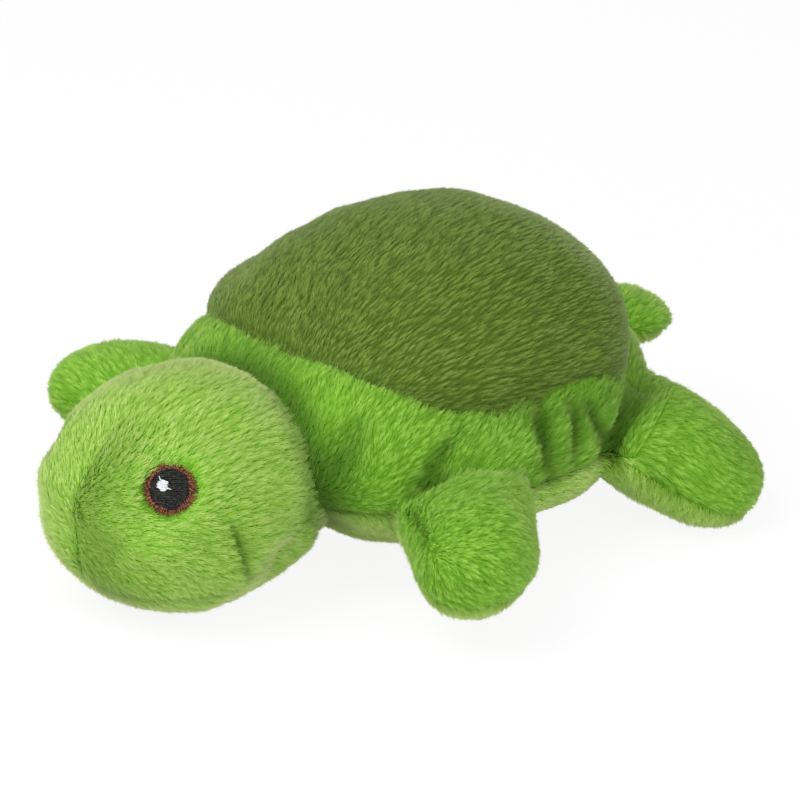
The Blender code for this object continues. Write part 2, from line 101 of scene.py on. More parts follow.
@dataclass(frozen=True)
class Wire:
    """One output socket in a node tree, with the sums that are done on it."""

    graph: "Graph"
    socket: bpy.types.NodeSocket

    def _sum(self, operation: str, first: object, second: object) -> "Wire":
        """Add one Math node on two numbers or wires."""
        made = self.graph.node("ShaderNodeMath", {"operation": operation}, {0: first, 1: second})
        return self.graph.out(made)

    def __add__(self, other: object) -> "Wire":
        """Add."""
        return self._sum("ADD", self, other)

    __radd__ = __add__

    def __sub__(self, other: object) -> "Wire":
        """Take away."""
        return self._sum("SUBTRACT", self, other)

    def __rsub__(self, other: object) -> "Wire":
        """Take this wire away from a number."""
        return self._sum("SUBTRACT", other, self)

    def __mul__(self, other: object) -> "Wire":
        """Multiply."""
        return self._sum("MULTIPLY", self, other)

    __rmul__ = __mul__

    def __pow__(self, other: object) -> "Wire":
        """Raise to a power."""
        return self._sum("POWER", self, other)


class Graph:
    """A node tree whose nodes are all added by one method."""

    def __init__(self, tree: bpy.types.NodeTree) -> None:
        """Keep the tree and empty it."""
        self.tree = tree
        tree.nodes.clear()

    def node(
        self, kind: str, settings: dict | None = None, inputs: dict | None = None
    ) -> bpy.types.Node:
        """Add a node.

        Args:
            kind: The node's type.
            settings: Its properties, set before its sockets.
            inputs: A value or a wire for each socket, by name or place.

        Returns:
            The node.
        """
        made = self.tree.nodes.new(kind)
        for name, value in (settings or {}).items():
            setattr(made, name, value)
        for key, value in (inputs or {}).items():
            if isinstance(value, Wire):
                self.tree.links.new(value.socket, made.inputs[key])
            else:
                made.inputs[key].default_value = value
        return made

    def out(self, made: bpy.types.Node, key: str | int = 0) -> Wire:
        """Return one of a node's outputs as a wire."""
        return Wire(self, made.outputs[key])

    def blend(self, share: object, first: object, second: object) -> Wire:
        """Mix two colours by a share."""
        made = self.node(
            "ShaderNodeMix", {"data_type": "RGBA"}, {0: share, 6: paint(first), 7: paint(second)}
        )
        return self.out(made, 2)

    def vectors(self, operation: str, first: object, second: object) -> Wire:
        """Do one sum on two vectors."""
        made = self.node("ShaderNodeVectorMath", {"operation": operation}, {0: first, 1: second})
        return self.out(made)

    def spread(self, value: Wire, low: float, high: float) -> Wire:
        """Stretch a number from low and high to 0 and 1, and hold it there."""
        return self.out(self.node("ShaderNodeMapRange", {}, {0: value, 1: low, 2: high}))

    def cloud(self, scale: float, detail: float, low: float, high: float) -> Wire:
        """Return noise on object coordinates, stretched from low and high to 0 and 1."""
        place = self.out(self.node("ShaderNodeTexCoord"), "Object")
        made = self.node(
            "ShaderNodeTexNoise", {}, {"Vector": place, "Scale": scale, "Detail": detail}
        )
        return self.spread(self.out(made), low, high)

    def attribute(self, name: str) -> Wire:
        """Return a number that the mesh carries."""
        made = self.node("ShaderNodeAttribute", {"attribute_name": name})
        return self.out(made, "Fac")

    def bump(self, height: Wire, strength: float, depth: float) -> Wire:
        """Return a normal that follows a height."""
        inputs = {"Strength": strength, "Distance": depth, "Height": height}
        return self.out(self.node("ShaderNodeBump", {}, inputs))

    def surface(self, inputs: dict) -> None:
        """Finish a material with one Principled shader."""
        shader = self.node("ShaderNodeBsdfPrincipled", {}, inputs)
        self.node("ShaderNodeOutputMaterial", {}, {"Surface": self.out(shader)})


def paint(value: object) -> object:
    """Give a plain colour its fourth number and leave a wire as it is."""
    return value if isinstance(value, Wire) else (*value, 1.0)


def shade(colour: Colour, share: float) -> Colour:
    """Darken a colour to a share of itself."""
    return tuple(share * channel for channel in colour)


def new_material(name: str) -> tuple[bpy.types.Material, Graph]:
    """Return a material and its empty graph."""
    material = bpy.data.materials.new(name)
    material.use_nodes = True
    return material, Graph(material.node_tree)


# Finishes


@dataclass(frozen=True)
class PilePlush:
    """Short plush pile: dark at the root and between its locks, pale at the tip. The dark root and the
    dark partings are painted shade deep in the pile.

    Args:
        name: The material's name.
        root: Colour where the tuft leaves the cloth and between two locks.
        body: Colour along the tuft.
        tip: Colour of the tuft's end.
        parting: How far the colour goes to the root's between two locks, as painted shade in the
            partings.
        sheen: Strength of the soft rim.
        rim: Colour of the rim.
        locks: Distances from a lock's middle between which its parting darkens.
        patches: Noise of the broad pale patches: scale, detail, lowest and highest value.
        flecks: Noise of the single pale tufts.
        shares: Shares of the tip's colour that are even, in patches and in flecks.
        curves: Powers by which the body's and the tip's colour rise along the tuft.
        deep: Share of the root's colour that is left in a crease, as painted shade.
        creased: How far a full crease goes to that painted shade.
    """

    name: str
    root: Colour
    body: Colour
    tip: Colour
    parting: float
    sheen: float
    rim: Colour
    locks: Pair = (0.28, 0.62)
    patches: Noise = (110.0, 2.0, 0.34, 0.68)
    flecks: Noise = (1500.0, 1.0, 0.32, 0.68)
    shares: Triple = (0.30, 0.35, 0.35)
    curves: Pair = (0.7, 1.8)
    deep: float = 0.30
    creased: float = 0.85

    def material(self) -> bpy.types.Material:
        """Build the material."""
        material, graph = new_material(self.name)
        along = graph.attribute("along")
        # Painted shade: the colour rises from the dark root along each tuft, and tufts near a lock's
        # border keep more of the root's dark colour.
        lit = 1.0 - self.parting * graph.spread(graph.attribute("border"), *self.locks)
        even, broad, fine = self.shares
        mottle = even + broad * graph.cloud(*self.patches) + fine * graph.cloud(*self.flecks)
        shaft = graph.blend(along ** self.curves[0] * lit, self.root, self.body)
        tuft_colour = graph.blend(along ** self.curves[1] * mottle * lit, shaft, self.tip)
        # Painted shade: the crease mark darkens the pile in folds, seams, tucks, round the eyes and in a
        # band beside the nose.
        crease = graph.attribute("crease") * self.creased
        graph.surface({
            "Base Color": graph.blend(crease, tuft_colour, shade(self.root, self.deep)),
            "Roughness": 0.8,
            "Specular IOR Level": 0.15,
            "Sheen Weight": self.sheen,
            "Sheen Roughness": 0.4,
            "Sheen Tint": paint(self.rim),
        })
        return material


@dataclass(frozen=True)
class BackingCloth:
    """Knitted backing between the tufts, dark because little light reaches it.

    Args:
        name: The material's name.
        colour: Colour of the knit's high places.
        knit: Noise of the knit: scale, detail, lowest and highest value.
        low: Share of the colour that the knit's low places have.
        deep: Share of the colour that is left in a crease, as painted shade.
    """

    name: str
    colour: Colour
    knit: Noise = (1400.0, 2.0, 0.30, 0.70)
    low: float = 0.6
    deep: float = 0.08

    def material(self) -> bpy.types.Material:
        """Build the material."""
        material, graph = new_material(self.name)
        knit = graph.cloud(*self.knit)
        plain = graph.blend(knit, shade(self.colour, self.low), self.colour)
        # Painted shade: the crease mark darkens the backing in folds, seams and tucks.
        graph.surface({
            "Base Color": graph.blend(graph.attribute("crease"), plain, shade(self.colour, self.deep)),
            "Roughness": 0.95,
            "Specular IOR Level": 0.1,
            "Normal": graph.bump(knit, 0.4, 0.0003),
        })
        return material


@dataclass(frozen=True)
class SatinThread:
    """Embroidery thread, whose twisted fibres shine in flecks, with painted shine on the fibres and
    painted shade between them.

    Args:
        name: The material's name.
        dark: Colour between the fibres, painted shade there, and at the stitches' hidden ends.
        light: Colour of the fibres, partly their own and partly painted shine.
        gloss: Specular level.
        roughness: Roughness.
        fibres: Noise of the fibres: scale, detail, lowest and highest value.
    """

    name: str
    dark: Colour
    light: Colour
    gloss: float
    roughness: float
    fibres: Noise = (2600.0, 3.0, 0.38, 0.66)

    def material(self) -> bpy.types.Material:
        """Build the material."""
        material, graph = new_material(self.name)
        fibre = graph.cloud(*self.fibres)
        # Painted shine and shade: the fibre noise mixes the thread's dark and light colours.
        graph.surface({
            "Base Color": graph.blend(fibre * graph.attribute("bright"), self.dark, self.light),
            "Roughness": self.roughness,
            "Specular IOR Level": self.gloss,
            "Normal": graph.bump(fibre, 0.9, 0.0002),
        })
        return material


LIGHT_PILE = PilePlush(
    "light_green_pile", (0.10, 0.31, 0.010), (0.28, 0.58, 0.042), (0.52, 0.80, 0.17),
    0.66, 0.36, (0.95, 1.0, 0.52),
)
# Painted light: the head's copy of the light green pile, the same cloth as the side, with paler colours
# as if lit more brightly.
HEAD_PILE = PilePlush(
    "brushed_green_pile", (0.16, 0.41, 0.020), (0.42, 0.66, 0.096), (0.70, 0.84, 0.32),
    0.54, 0.55, (1.0, 1.0, 0.60),
)
BELLY_PILE = PilePlush(
    "belly_green_pile", (0.18, 0.40, 0.024), (0.46, 0.72, 0.12), (0.74, 0.90, 0.32),
    0.55, 0.25, (1.0, 1.0, 0.60),
)
SHELL_PILE = PilePlush(
    "dark_green_pile", (0.055, 0.110, 0.007), (0.176, 0.303, 0.032), (0.31, 0.42, 0.10),
    0.72, 0.28, (0.9, 1.0, 0.60),
)
LIGHT_CLOTH = BackingCloth("light_green_backing", (0.13, 0.33, 0.020))
SHELL_CLOTH = BackingCloth("dark_green_backing", (0.08, 0.15, 0.012))
FILL_CLOTH = BackingCloth("neck_fill_cloth", (0.62, 0.62, 0.58))
# Painted shine and shade: each thread's light colour is partly its own and partly painted shine, and
# shows only as flecks on the black pupil. Its dark colour stands between the fibres as painted shade.
RING_THREAD = SatinThread("brown_thread", (0.008, 0.002, 0.002), (0.44, 0.135, 0.065), 0.30, 0.5)
PUPIL_THREAD = SatinThread("black_thread", (0.001, 0.001, 0.001), (0.035, 0.035, 0.032), 0.30, 0.35)
GLINT_THREAD = SatinThread("white_thread", (0.52, 0.54, 0.58), (0.86, 0.87, 0.89), 0.4, 0.45)


# Mesh helpers


WAVES, WAVE_LENGTHS, WAVE_HEIGHT = 12, (1.2, 3.0), 0.29
LUMP_SIZE = 0.008


def link(name: str, mesh: bpy.types.Mesh) -> bpy.types.Object:
    """Put a mesh into the scene under a name."""
    item = bpy.data.objects.new(name, mesh)
    bpy.context.scene.collection.objects.link(item)
    return item


def mesh_of(bm: bmesh.types.BMesh, name: str) -> bpy.types.Mesh:
    """Turn a bmesh into a mesh and free it."""
    mesh = bpy.data.meshes.new(name)
    bm.to_mesh(mesh)
    bm.free()
    return mesh


def bm_of(mesh: bpy.types.Mesh) -> bmesh.types.BMesh:
    """Read a mesh into a bmesh."""
    bm = bmesh.new()
    bm.from_mesh(mesh)
    return bm


def baked(item: bpy.types.Object, name: str) -> bpy.types.Mesh:
    """Apply an object's modifiers, remove it and return the mesh that was left."""
    bpy.context.view_layer.update()
    graph = bpy.context.evaluated_depsgraph_get()
    mesh = bpy.data.meshes.new_from_object(item.evaluated_get(graph))
    mesh.name = name
    bpy.data.objects.remove(item, do_unlink=True)
    return mesh


def modify(item: bpy.types.Object, kind: str, settings: dict) -> None:
    """Add a modifier with its settings."""
    added = item.modifiers.new(kind.lower(), kind)
    for name, value in settings.items():
        setattr(added, name, value)


def read(mesh: bpy.types.Mesh, name: str) -> Points:
    """Return a vector attribute of the vertices."""
    flat = np.empty(len(mesh.vertices) * 3, np.float32)
    mesh.attributes[name].data.foreach_get("vector", flat)
    return flat.reshape(-1, 3).astype(float)


def places(mesh: bpy.types.Mesh) -> Points:
    """Return the vertices' places."""
    return read(mesh, "position")


def normals(mesh: bpy.types.Mesh) -> Points:
    """Return the vertices' normals."""
    flat = np.empty(len(mesh.vertices) * 3, np.float32)
    mesh.vertex_normals.foreach_get("vector", flat)
    return flat.reshape(-1, 3).astype(float)


def put(mesh: bpy.types.Mesh, co: Points) -> None:
    """Move the vertices to new places."""
    mesh.vertices.foreach_set("co", co.astype(np.float32).ravel())
    mesh.update()


def attach(mesh: bpy.types.Mesh, name: str, values: Points, domain: str = "POINT") -> None:
    """Give a mesh an attribute of numbers or vectors.

    Args:
        mesh: The mesh.
        name: The attribute's name.
        values: A number or a row of three for each element.
        domain: What carries the values.
    """
    kind, key = ("FLOAT", "value") if values.ndim == 1 else ("FLOAT_VECTOR", "vector")
    made = mesh.attributes.get(name) or mesh.attributes.new(name, kind, domain)
    made.data.foreach_set(key, values.astype(np.float32).ravel())


def unit(rows: Points) -> Points:
    """Scale each row to a length of one."""
    return rows / np.maximum(np.linalg.norm(rows, axis=1, keepdims=True), 1e-12)


def smoothstep(values: Points, low: float, high: float) -> Points:
    """Rise smoothly from 0 at low to 1 at high."""
    share = np.clip((values - low) / (high - low), 0.0, 1.0)
    return share * share * (3.0 - 2.0 * share)


def clouds(co: Points, size: float, seed: int) -> Points:
    """Work out smooth noise, a sum of waves in all directions.

    Args:
        co: The places.
        size: How far across its patches are, about.
        seed: Seed of the waves.

    Returns:
        A vector for each place.
    """
    draw = np.random.default_rng(seed)
    total = np.zeros_like(co)
    for _ in range(WAVES):
        wave = unit(draw.normal(size=(1, 3)))[0] * math.tau / (size * draw.uniform(*WAVE_LENGTHS))
        total += np.sin(co @ wave + draw.uniform(0.0, math.tau))[:, None] * draw.normal(size=3)
    return total * WAVE_HEIGHT


def cut(mesh: bpy.types.Mesh, point: Vector, normal: Vector) -> bpy.types.Mesh:
    """Cut a closed mesh at a plane, and close it with a flat cap inside the toy.

    Args:
        mesh: The mesh, which is left as it is.
        point: A point on the plane.
        normal: The plane's normal, towards the half that is kept.

    Returns:
        The closed half, with the cap's faces marked.
    """
    bm = bm_of(mesh)
    mark = bm.faces.layers.float.get("cap") or bm.faces.layers.float.new("cap")
    bmesh.ops.bisect_plane(
        bm, geom=bm.verts[:] + bm.edges[:] + bm.faces[:], plane_co=point, plane_no=normal,
        clear_inner=True,
    )
    rims = [edge for edge in bm.edges if edge.is_boundary]
    made = bmesh.ops.holes_fill(bm, edges=rims, sides=0)["faces"]
    for face in made:
        face[mark] = 1.0
    bmesh.ops.triangulate(bm, faces=made)
    bmesh.ops.recalc_face_normals(bm, faces=bm.faces)
    return mesh_of(bm, mesh.name)


def part_at(mesh: bpy.types.Mesh, point: Vector) -> bpy.types.Mesh:
    """Keep one connected part of a mesh.

    Args:
        mesh: The mesh, which is left as it is.
        point: The point that the part comes nearest to.

    Returns:
        The part.
    """
    bm = bm_of(mesh)
    first = min(bm.verts, key=lambda vertex: (vertex.co - point).length_squared)
    kept, rim = {first}, {first}
    while rim:
        rim = {edge.other_vert(vertex) for vertex in rim for edge in vertex.link_edges} - kept
        kept |= rim
    spare = [vertex for vertex in bm.verts if vertex not in kept]
    bmesh.ops.delete(bm, geom=spare, context="VERTS")
    return mesh_of(bm, mesh.name)


def shade_smooth(mesh: bpy.types.Mesh) -> None:
    """Shade every face of a mesh smooth."""
    mesh.polygons.foreach_set("use_smooth", [True] * len(mesh.polygons))


def settle(mesh: bpy.types.Mesh, rest: float, lumps: float, seed: int) -> None:
    """Give a stuffed skin its slight lumps and the flat that it rests on.

    Args:
        mesh: The skin.
        rest: Height under which it lies flat.
        lumps: Size of the unevenness of the fill.
        seed: Seed of the lumps.
    """
    shade_smooth(mesh)
    co = places(mesh)
    co += normals(mesh) * (clouds(co, LUMP_SIZE, seed)[:, :1] * lumps)
    co[:, 2] = np.maximum(co[:, 2], rest)
    put(mesh, co)


@dataclass(frozen=True)
class Rounded:
    """A stuffed form between an ellipsoid and a rounded box.

    Args:
        centre: Middle of the form.
        low: How far it reaches towards -X, -Y and -Z.
        high: How far it reaches towards +X, +Y and +Z.
        plan: Squareness seen from above, 2 for an ellipse.
        upper: Squareness of its upper half seen from the side.
        lower: Squareness of its lower half.
        lean: How far the form's top lies behind its middle, as a share of the height.
    """

    centre: Triple
    low: Triple
    high: Triple
    plan: float
    upper: float
    lower: float
    lean: float = 0.0

    def level(self, co: Points, grow: float = 0.0) -> Points:
        """Share of the way from the middle to the form's surface, which is at 1.

        Args:
            co: The places.
            grow: Distance that the form is grown by.

        Returns:
            The share for each place.
        """
        away = co - np.array(self.centre)
        away[:, 1] -= self.lean * away[:, 2]
        part = np.abs(away) / (np.where(away < 0.0, self.low, self.high) + grow)
        flat = (part[:, 0] ** self.plan + part[:, 1] ** self.plan) ** (1.0 / self.plan)
        power = np.where(away[:, 2] < 0.0, self.lower, self.upper)
        return (flat**power + part[:, 2] ** power) ** (1.0 / power)

    def onto(self, co: Points, grow: float = 0.0) -> Points:
        """Move places straight out from the middle to the form's surface."""
        middle = np.array(self.centre)
        return middle + (co - middle) / self.level(co, grow)[:, None]

    def mesh(self, name: str, grow: float, fineness: int) -> bpy.types.Mesh:
        """Build the form.

        Args:
            name: The mesh's name.
            grow: Distance that the form is grown by.
            fineness: How often a ball's faces are divided.

        Returns:
            A closed mesh of even triangles.
        """
        bm = bmesh.new()
        bmesh.ops.create_icosphere(bm, subdivisions=fineness, radius=0.01)
        bmesh.ops.translate(bm, vec=self.centre, verts=bm.verts)
        mesh = mesh_of(bm, name)
        put(mesh, self.onto(places(mesh), grow))
        return mesh


# Seams and creases


FADE_START, FADE_RUN = 0.14, 0.72
# How much a metre of drawing in paints shade into the pile and the backing, for folds, tucks and seams.
FOLD_SHADE, TUCK_SHADE, SEAM_SHADE = 280.0, 500.0, 900.0


@dataclass(frozen=True)
class Fold:
    """A line along which the cloth is drawn in.

    Args:
        points: The line's points, in millimetres in the row frame.
        depth: How far the cloth is drawn in, in metres.
        width: Half width of the valley, in metres.
        both: Whether the other side of the toy has the same line.
        mark: How much a metre of depth paints shade into the pile, which ends at 1.
    """

    points: tuple[Triple, ...]
    depth: float
    width: float
    both: bool = True
    mark: float = FOLD_SHADE

    def lines(self) -> list[Points]:
        """Return the line, and its mirror image where both sides have it."""
        line = np.array(self.points) / 1000.0
        return [line, line * np.array((-1.0, 1.0, 1.0))] if self.both else [line]

    def away(self, co: Points) -> tuple[Points, Points]:
        """Measure from the line, or from its mirror image where that is nearer.

        Args:
            co: The places.

        Returns:
            Each place's distance from the line, and its share of the way along it.
        """
        best, share_of = np.full(len(co), np.inf), np.zeros(len(co))
        for line in self.lines():
            for index, (start, end) in enumerate(zip(line, line[1:])):
                run = end - start
                share = np.clip((co - start) @ run / (run @ run), 0.0, 1.0)
                gap = np.linalg.norm(co - (start + share[:, None] * run), axis=1)
                nearer = gap < best
                share_of = np.where(nearer, (index + share) / (len(line) - 1), share_of)
                best = np.minimum(best, gap)
        return best, share_of

    def pull(self, co: Points) -> Points:
        """Distance that each place is drawn in by, less towards the line's ends."""
        away, share = self.away(co)
        fade = np.sin(np.pi * (FADE_START + FADE_RUN * share))
        return self.depth * fade * np.exp(-((away / self.width) ** 2))


def press(mesh: bpy.types.Mesh, pull: Points, mark: float = TUCK_SHADE) -> None:
    """Draw a skin in and paint shade into it through its crease mark.

    Args:
        mesh: The skin.
        pull: Distance that each place is drawn in by.
        mark: How much a metre of pull adds to the painted shade, which ends at 1.
    """
    shade_smooth(mesh)
    put(mesh, places(mesh) - normals(mesh) * pull[:, None])
    deep = np.zeros(len(mesh.vertices), np.float32)
    if "crease" in mesh.attributes:
        mesh.attributes["crease"].data.foreach_get("value", deep)
    attach(mesh, "crease", np.clip(deep + pull * mark, 0.0, 1.0))


def draw_in(mesh: bpy.types.Mesh, folds: tuple[Fold, ...]) -> None:
    """Draw a skin in along its folds, and paint each fold's shade into it."""
    for fold in folds:
        press(mesh, fold.pull(places(mesh)), fold.mark)


def groove(mesh: bpy.types.Mesh, height: Points, depth: float, width: float) -> None:
    """Draw a skin in where a height over a seam is near zero, and paint shade into the seam."""
    press(mesh, depth * np.exp(-((height / width) ** 2)), SEAM_SHADE)


def tuck(mesh: bpy.types.Mesh, form: Rounded, depth: float, width: float) -> None:
    """Draw a skin in where it meets another form, and paint shade there."""
    away = (form.level(places(mesh)) - 1.0) * min(form.high)
    press(mesh, depth * np.exp(-((away / width) ** 2)))


def remember_facing(mesh: bpy.types.Mesh, before: Points) -> None:
    """Keep softened normals for the pile's shading, before the fine seams are drawn in."""
    shade_smooth(mesh)
    attach(mesh, "square", unit(normals(mesh) + before))


# Pile


@dataclass(frozen=True)
class Pile:
    """How the pile grows on one cloth.

    Args:
        density: Tufts to the square metre.
        length: Length of a tuft.
        radius: Radius of a tuft at its root.
        rise: Share of the lean that stands square to the cloth.
        lay: Share of the lean that lies along the comb.
        wander: Size of the broad noise in the lean.
        scatter: Size of each tuft's own turn away from its neighbours.
        lock: Width of a lock of tufts.
        stretch: Length of a lock in widths.
        gather: How far the tufts of a lock lean together.
        lengths: Shares of the length between which a tuft's own is drawn.
        radii: Shares of the radius between which a tuft's own is drawn.
        crown: Share of the length in a lock's middle, and what it loses a lock's width away.
        uneven: How much the length swings from patch to patch.
    """

    density: float
    length: float
    radius: float
    rise: float
    lay: float
    wander: float
    scatter: float
    lock: float
    stretch: float
    gather: float
    lengths: Pair = (0.78, 1.10)
    radii: Pair = (0.8, 1.25)
    crown: Pair = (1.12, 0.45)
    uneven: float = 0.10


LIGHT_GROWTH = Pile(13.0e6, 0.0019, 0.00011, 0.50, 0.86, 0.19, 0.22, 0.0011, 2.0, 0.36)
SHELL_GROWTH = Pile(13.5e6, 0.0019, 0.00010, 0.38, 0.92, 0.13, 0.14, 0.0009, 3.0, 0.36)
BELLY_GROWTH = Pile(7.2e6, 0.0019, 0.00015, 0.46, 0.88, 0.13, 0.17, 0.0011, 2.2, 0.22)
FLOOR_CLEARANCE = 0.0002
TUFT_SIDES = 3
TUFT_POINTS = TUFT_SIDES + 1
TUFT_WELD = 1e-4
LOCK_JITTER = 0.9
CELL_MARGIN, CELL_ROOM = 0.15, 0.7
WANDER_PATCH, HEIGHT_PATCH = 0.009, 0.004
HEIGHT_SEED, HEIGHT_LIMIT = 31, 1.5
SOFT_SHARE, OWN_SHARE = 0.80, 0.30


def tuft() -> bpy.types.Object:
    """Return one tapered tuft of unit length, with its share along in an attribute."""
    bm = bmesh.new()
    bmesh.ops.create_cone(
        bm, cap_ends=False, cap_tris=False, segments=TUFT_SIDES, radius1=1.0, radius2=0.0, depth=1.0
    )
    bmesh.ops.translate(bm, vec=UP * 0.5, verts=bm.verts)
    bmesh.ops.remove_doubles(bm, verts=bm.verts, dist=TUFT_WELD)
    mesh = mesh_of(bm, "tuft")
    attach(mesh, "along", places(mesh)[:, 2])
    return link("tuft", mesh)


def growth_tree(pile: Pile, blade: bpy.types.Object, seed: int) -> bpy.types.NodeTree:
    """Return the node group that scatters tufts on a skin.

    Args:
        pile: How the pile grows.
        blade: The tuft that is repeated.
        seed: Seed of every draw.

    Returns:
        The node group.
    """
    tree = bpy.data.node_groups.new("growth", "GeometryNodeTree")
    tree.interface.new_socket("Geometry", in_out="INPUT", socket_type="NodeSocketGeometry")
    tree.interface.new_socket("Geometry", in_out="OUTPUT", socket_type="NodeSocketGeometry")
    graph = Graph(tree)

    def carried(name: str, kind: str) -> Wire:
        """Read an attribute of the skin."""
        made = graph.node("GeometryNodeInputNamedAttribute", {"data_type": kind}, {"Name": name})
        return graph.out(made)

    def chance(low: object, high: object, kind: str, turn: int) -> Wire:
        """Draw a number or a vector for each tuft, with a seed of its own."""
        first, output = (0, 0) if kind == "FLOAT_VECTOR" else (2, 1)
        inputs = {first: low, first + 1: high, "Seed": seed + turn}
        return graph.out(graph.node("FunctionNodeRandomValue", {"data_type": kind}, inputs), output)

    def between(shares: Pair, size: float, turn: int) -> Wire:
        """Draw a size for each tuft between two shares of a size."""
        return chance(shares[0] * size, shares[1] * size, "FLOAT", turn)

    skin = graph.out(graph.node("NodeGroupInput"))
    strewn = graph.node(
        "GeometryNodeDistributePointsOnFaces",
        {"distribute_method": "RANDOM"},
        {"Mesh": skin, "Density": carried("cover", "FLOAT") * pile.density, "Seed": seed},
    )
    bed = carried("bed", "FLOAT_VECTOR")
    lock = graph.node(
        "ShaderNodeTexVoronoi", {}, {"Vector": bed, "Scale": 1.0, "Randomness": LOCK_JITTER}
    )
    marked = graph.node(
        "GeometryNodeStoreNamedAttribute", {"data_type": "FLOAT", "domain": "POINT"},
        {"Geometry": graph.out(strewn), "Name": "border", "Value": graph.out(lock, "Distance")},
    )
    inwards = graph.vectors("SUBTRACT", graph.out(lock, "Position"), bed)
    gathered = graph.vectors("MULTIPLY", inwards, (pile.gather,) * 3)
    jitter = chance((-pile.scatter,) * 3, (pile.scatter,) * 3, "FLOAT_VECTOR", 1)
    lean = graph.vectors("ADD", graph.vectors("ADD", carried("lean", "FLOAT_VECTOR"), gathered), jitter)
    spin = graph.node(
        "FunctionNodeAxisAngleToRotation", {},
        {"Axis": UP, "Angle": chance(0.0, math.tau, "FLOAT", 2)},
    )
    aimed = graph.node(
        "FunctionNodeAlignRotationToVector", {"axis": "Z"},
        {"Rotation": graph.out(spin), "Vector": lean},
    )
    crown, loss = pile.crown
    shorter = crown - loss * graph.out(lock, "Distance")
    tall = carried("height", "FLOAT") * shorter * between(pile.lengths, pile.length, 3)
    wide = between(pile.radii, pile.radius, 4)
    size = graph.node("ShaderNodeCombineXYZ", {}, {0: wide, 1: wide, 2: tall})
    object_info = graph.node("GeometryNodeObjectInfo", {}, {"Object": blade})
    spread = graph.node(
        "GeometryNodeInstanceOnPoints", {},
        {
            "Points": graph.out(marked), "Instance": graph.out(object_info, "Geometry"),
            "Rotation": graph.out(aimed), "Scale": graph.out(size),
        },
    )
    real = graph.node("GeometryNodeRealizeInstances", {}, {0: graph.out(spread)})
    graph.node("NodeGroupOutput", {}, {0: graph.out(real)})
    return tree


def tuft_map(mesh: bpy.types.Mesh) -> None:
    """Give each tuft a cell of its own on the pile's texture map."""
    corners = np.empty(len(mesh.loops), np.int32)
    mesh.loops.foreach_get("vertex_index", corners)
    along = np.empty(len(mesh.vertices), np.float32)
    mesh.attributes["along"].data.foreach_get("value", along)
    cells = max(1, math.ceil(math.sqrt(len(mesh.vertices) / TUFT_POINTS)))
    index, corner = corners // TUFT_POINTS, corners % TUFT_POINTS
    up = along[corners]
    side = np.where(up > 0.5, 0.5, CELL_MARGIN + 0.5 * CELL_ROOM * (corner % TUFT_SIDES))
    across = ((index % cells) + side) / cells
    over = ((index // cells) + CELL_MARGIN + CELL_ROOM * up) / cells
    layer = mesh.uv_layers.new(name=PILE_MAP)
    layer.data.foreach_set("uv", np.stack((across, over), axis=1).astype(np.float32).ravel())


def straight(direction: Triple | Points) -> Comb:
    """Return a comb that points one way everywhere."""
    return lambda co, square: np.tile(direction, (len(co), 1))


class Coat:
    """Pile combed over one skin, grown from it piece by piece."""

    def __init__(
        self, skin: bpy.types.Mesh, pile: Pile, finish: PilePlush, comb: Comb,
        blade: bpy.types.Object, seed: int, height: Rule | None = None,
    ) -> None:
        """Comb the pile.

        Args:
            skin: The skin that it grows on.
            pile: How it grows.
            finish: Its colours.
            comb: Direction of the pile, from the places and their normals.
            blade: One tuft.
            seed: Seed of every draw.
            height: Share of its length that the pile has at each place.
        """
        self.pile, self.finish, self.blade, self.seed = pile, finish, blade, seed
        base = skin.copy()
        co, square = places(base), unit(read(base, "square"))
        along = comb(co, square)
        along = unit(along - square * np.einsum("ij,ij->i", along, square)[:, None])
        wander = clouds(co, WANDER_PATCH, seed) * pile.wander
        attach(base, "lean", unit(square * pile.rise + along * pile.lay + wander))
        swing = clouds(co, HEIGHT_PATCH, seed + HEIGHT_SEED)[:, 0]
        uneven = 1.0 + pile.uneven * np.clip(swing, -HEIGHT_LIMIT, HEIGHT_LIMIT)
        attach(base, "height", uneven if height is None else uneven * height(co))
        line = unit(along.mean(axis=0, keepdims=True))[0]
        squeezed = co - np.outer(co @ line, line) * (1.0 - 1.0 / pile.stretch)
        attach(base, "bed", squeezed / pile.lock)
        flat = np.empty(len(base.polygons) * 3, np.float32)
        base.polygons.foreach_get("center", flat)
        self.middles = flat.reshape(-1, 3).astype(float)
        cap = np.zeros(len(base.polygons), np.float32)
        if "cap" in base.attributes:
            base.attributes["cap"].data.foreach_get("value", cap)
        self.cloth = cap < 0.5
        self.base = base

    def grow(self, name: str, slot: str, cover: Points) -> bpy.types.Object:
        """Grow one piece of the pile.

        Args:
            name: The piece's name.
            slot: Its slot in the record; not used.
            cover: Which faces the pile grows on.

        Returns:
            The piece.
        """
        base = self.base.copy()
        attach(base, "cover", (cover & self.cloth).astype(float), "FACE")
        holder = link(name, base)
        grown = holder.modifiers.new("growth", "NODES")
        grown.node_group = growth_tree(self.pile, self.blade, self.seed)
        mesh = baked(holder, name)
        tops = places(mesh)
        tops[:, 2] = np.maximum(tops[:, 2], FLOOR_CLEARANCE)
        put(mesh, tops)
        tuft_map(mesh)
        shade_smooth(mesh)
        facing = unit(SOFT_SHARE * unit(read(mesh, "square")) + OWN_SHARE * normals(mesh))
        mesh.normals_split_custom_set_from_vertices(facing.tolist())
        for spare in ("square", "lean", "height", "cover", "bed", "cap"):
            if spare in mesh.attributes:
                mesh.attributes.remove(mesh.attributes[spare])
        mesh.materials.clear()
        mesh.materials.append(self.finish.material())
        tufts = len(mesh.vertices) // TUFT_POINTS
        LOG.info("%s: %d tufts, %d faces", name, tufts, len(mesh.polygons))
        return link(name, mesh)


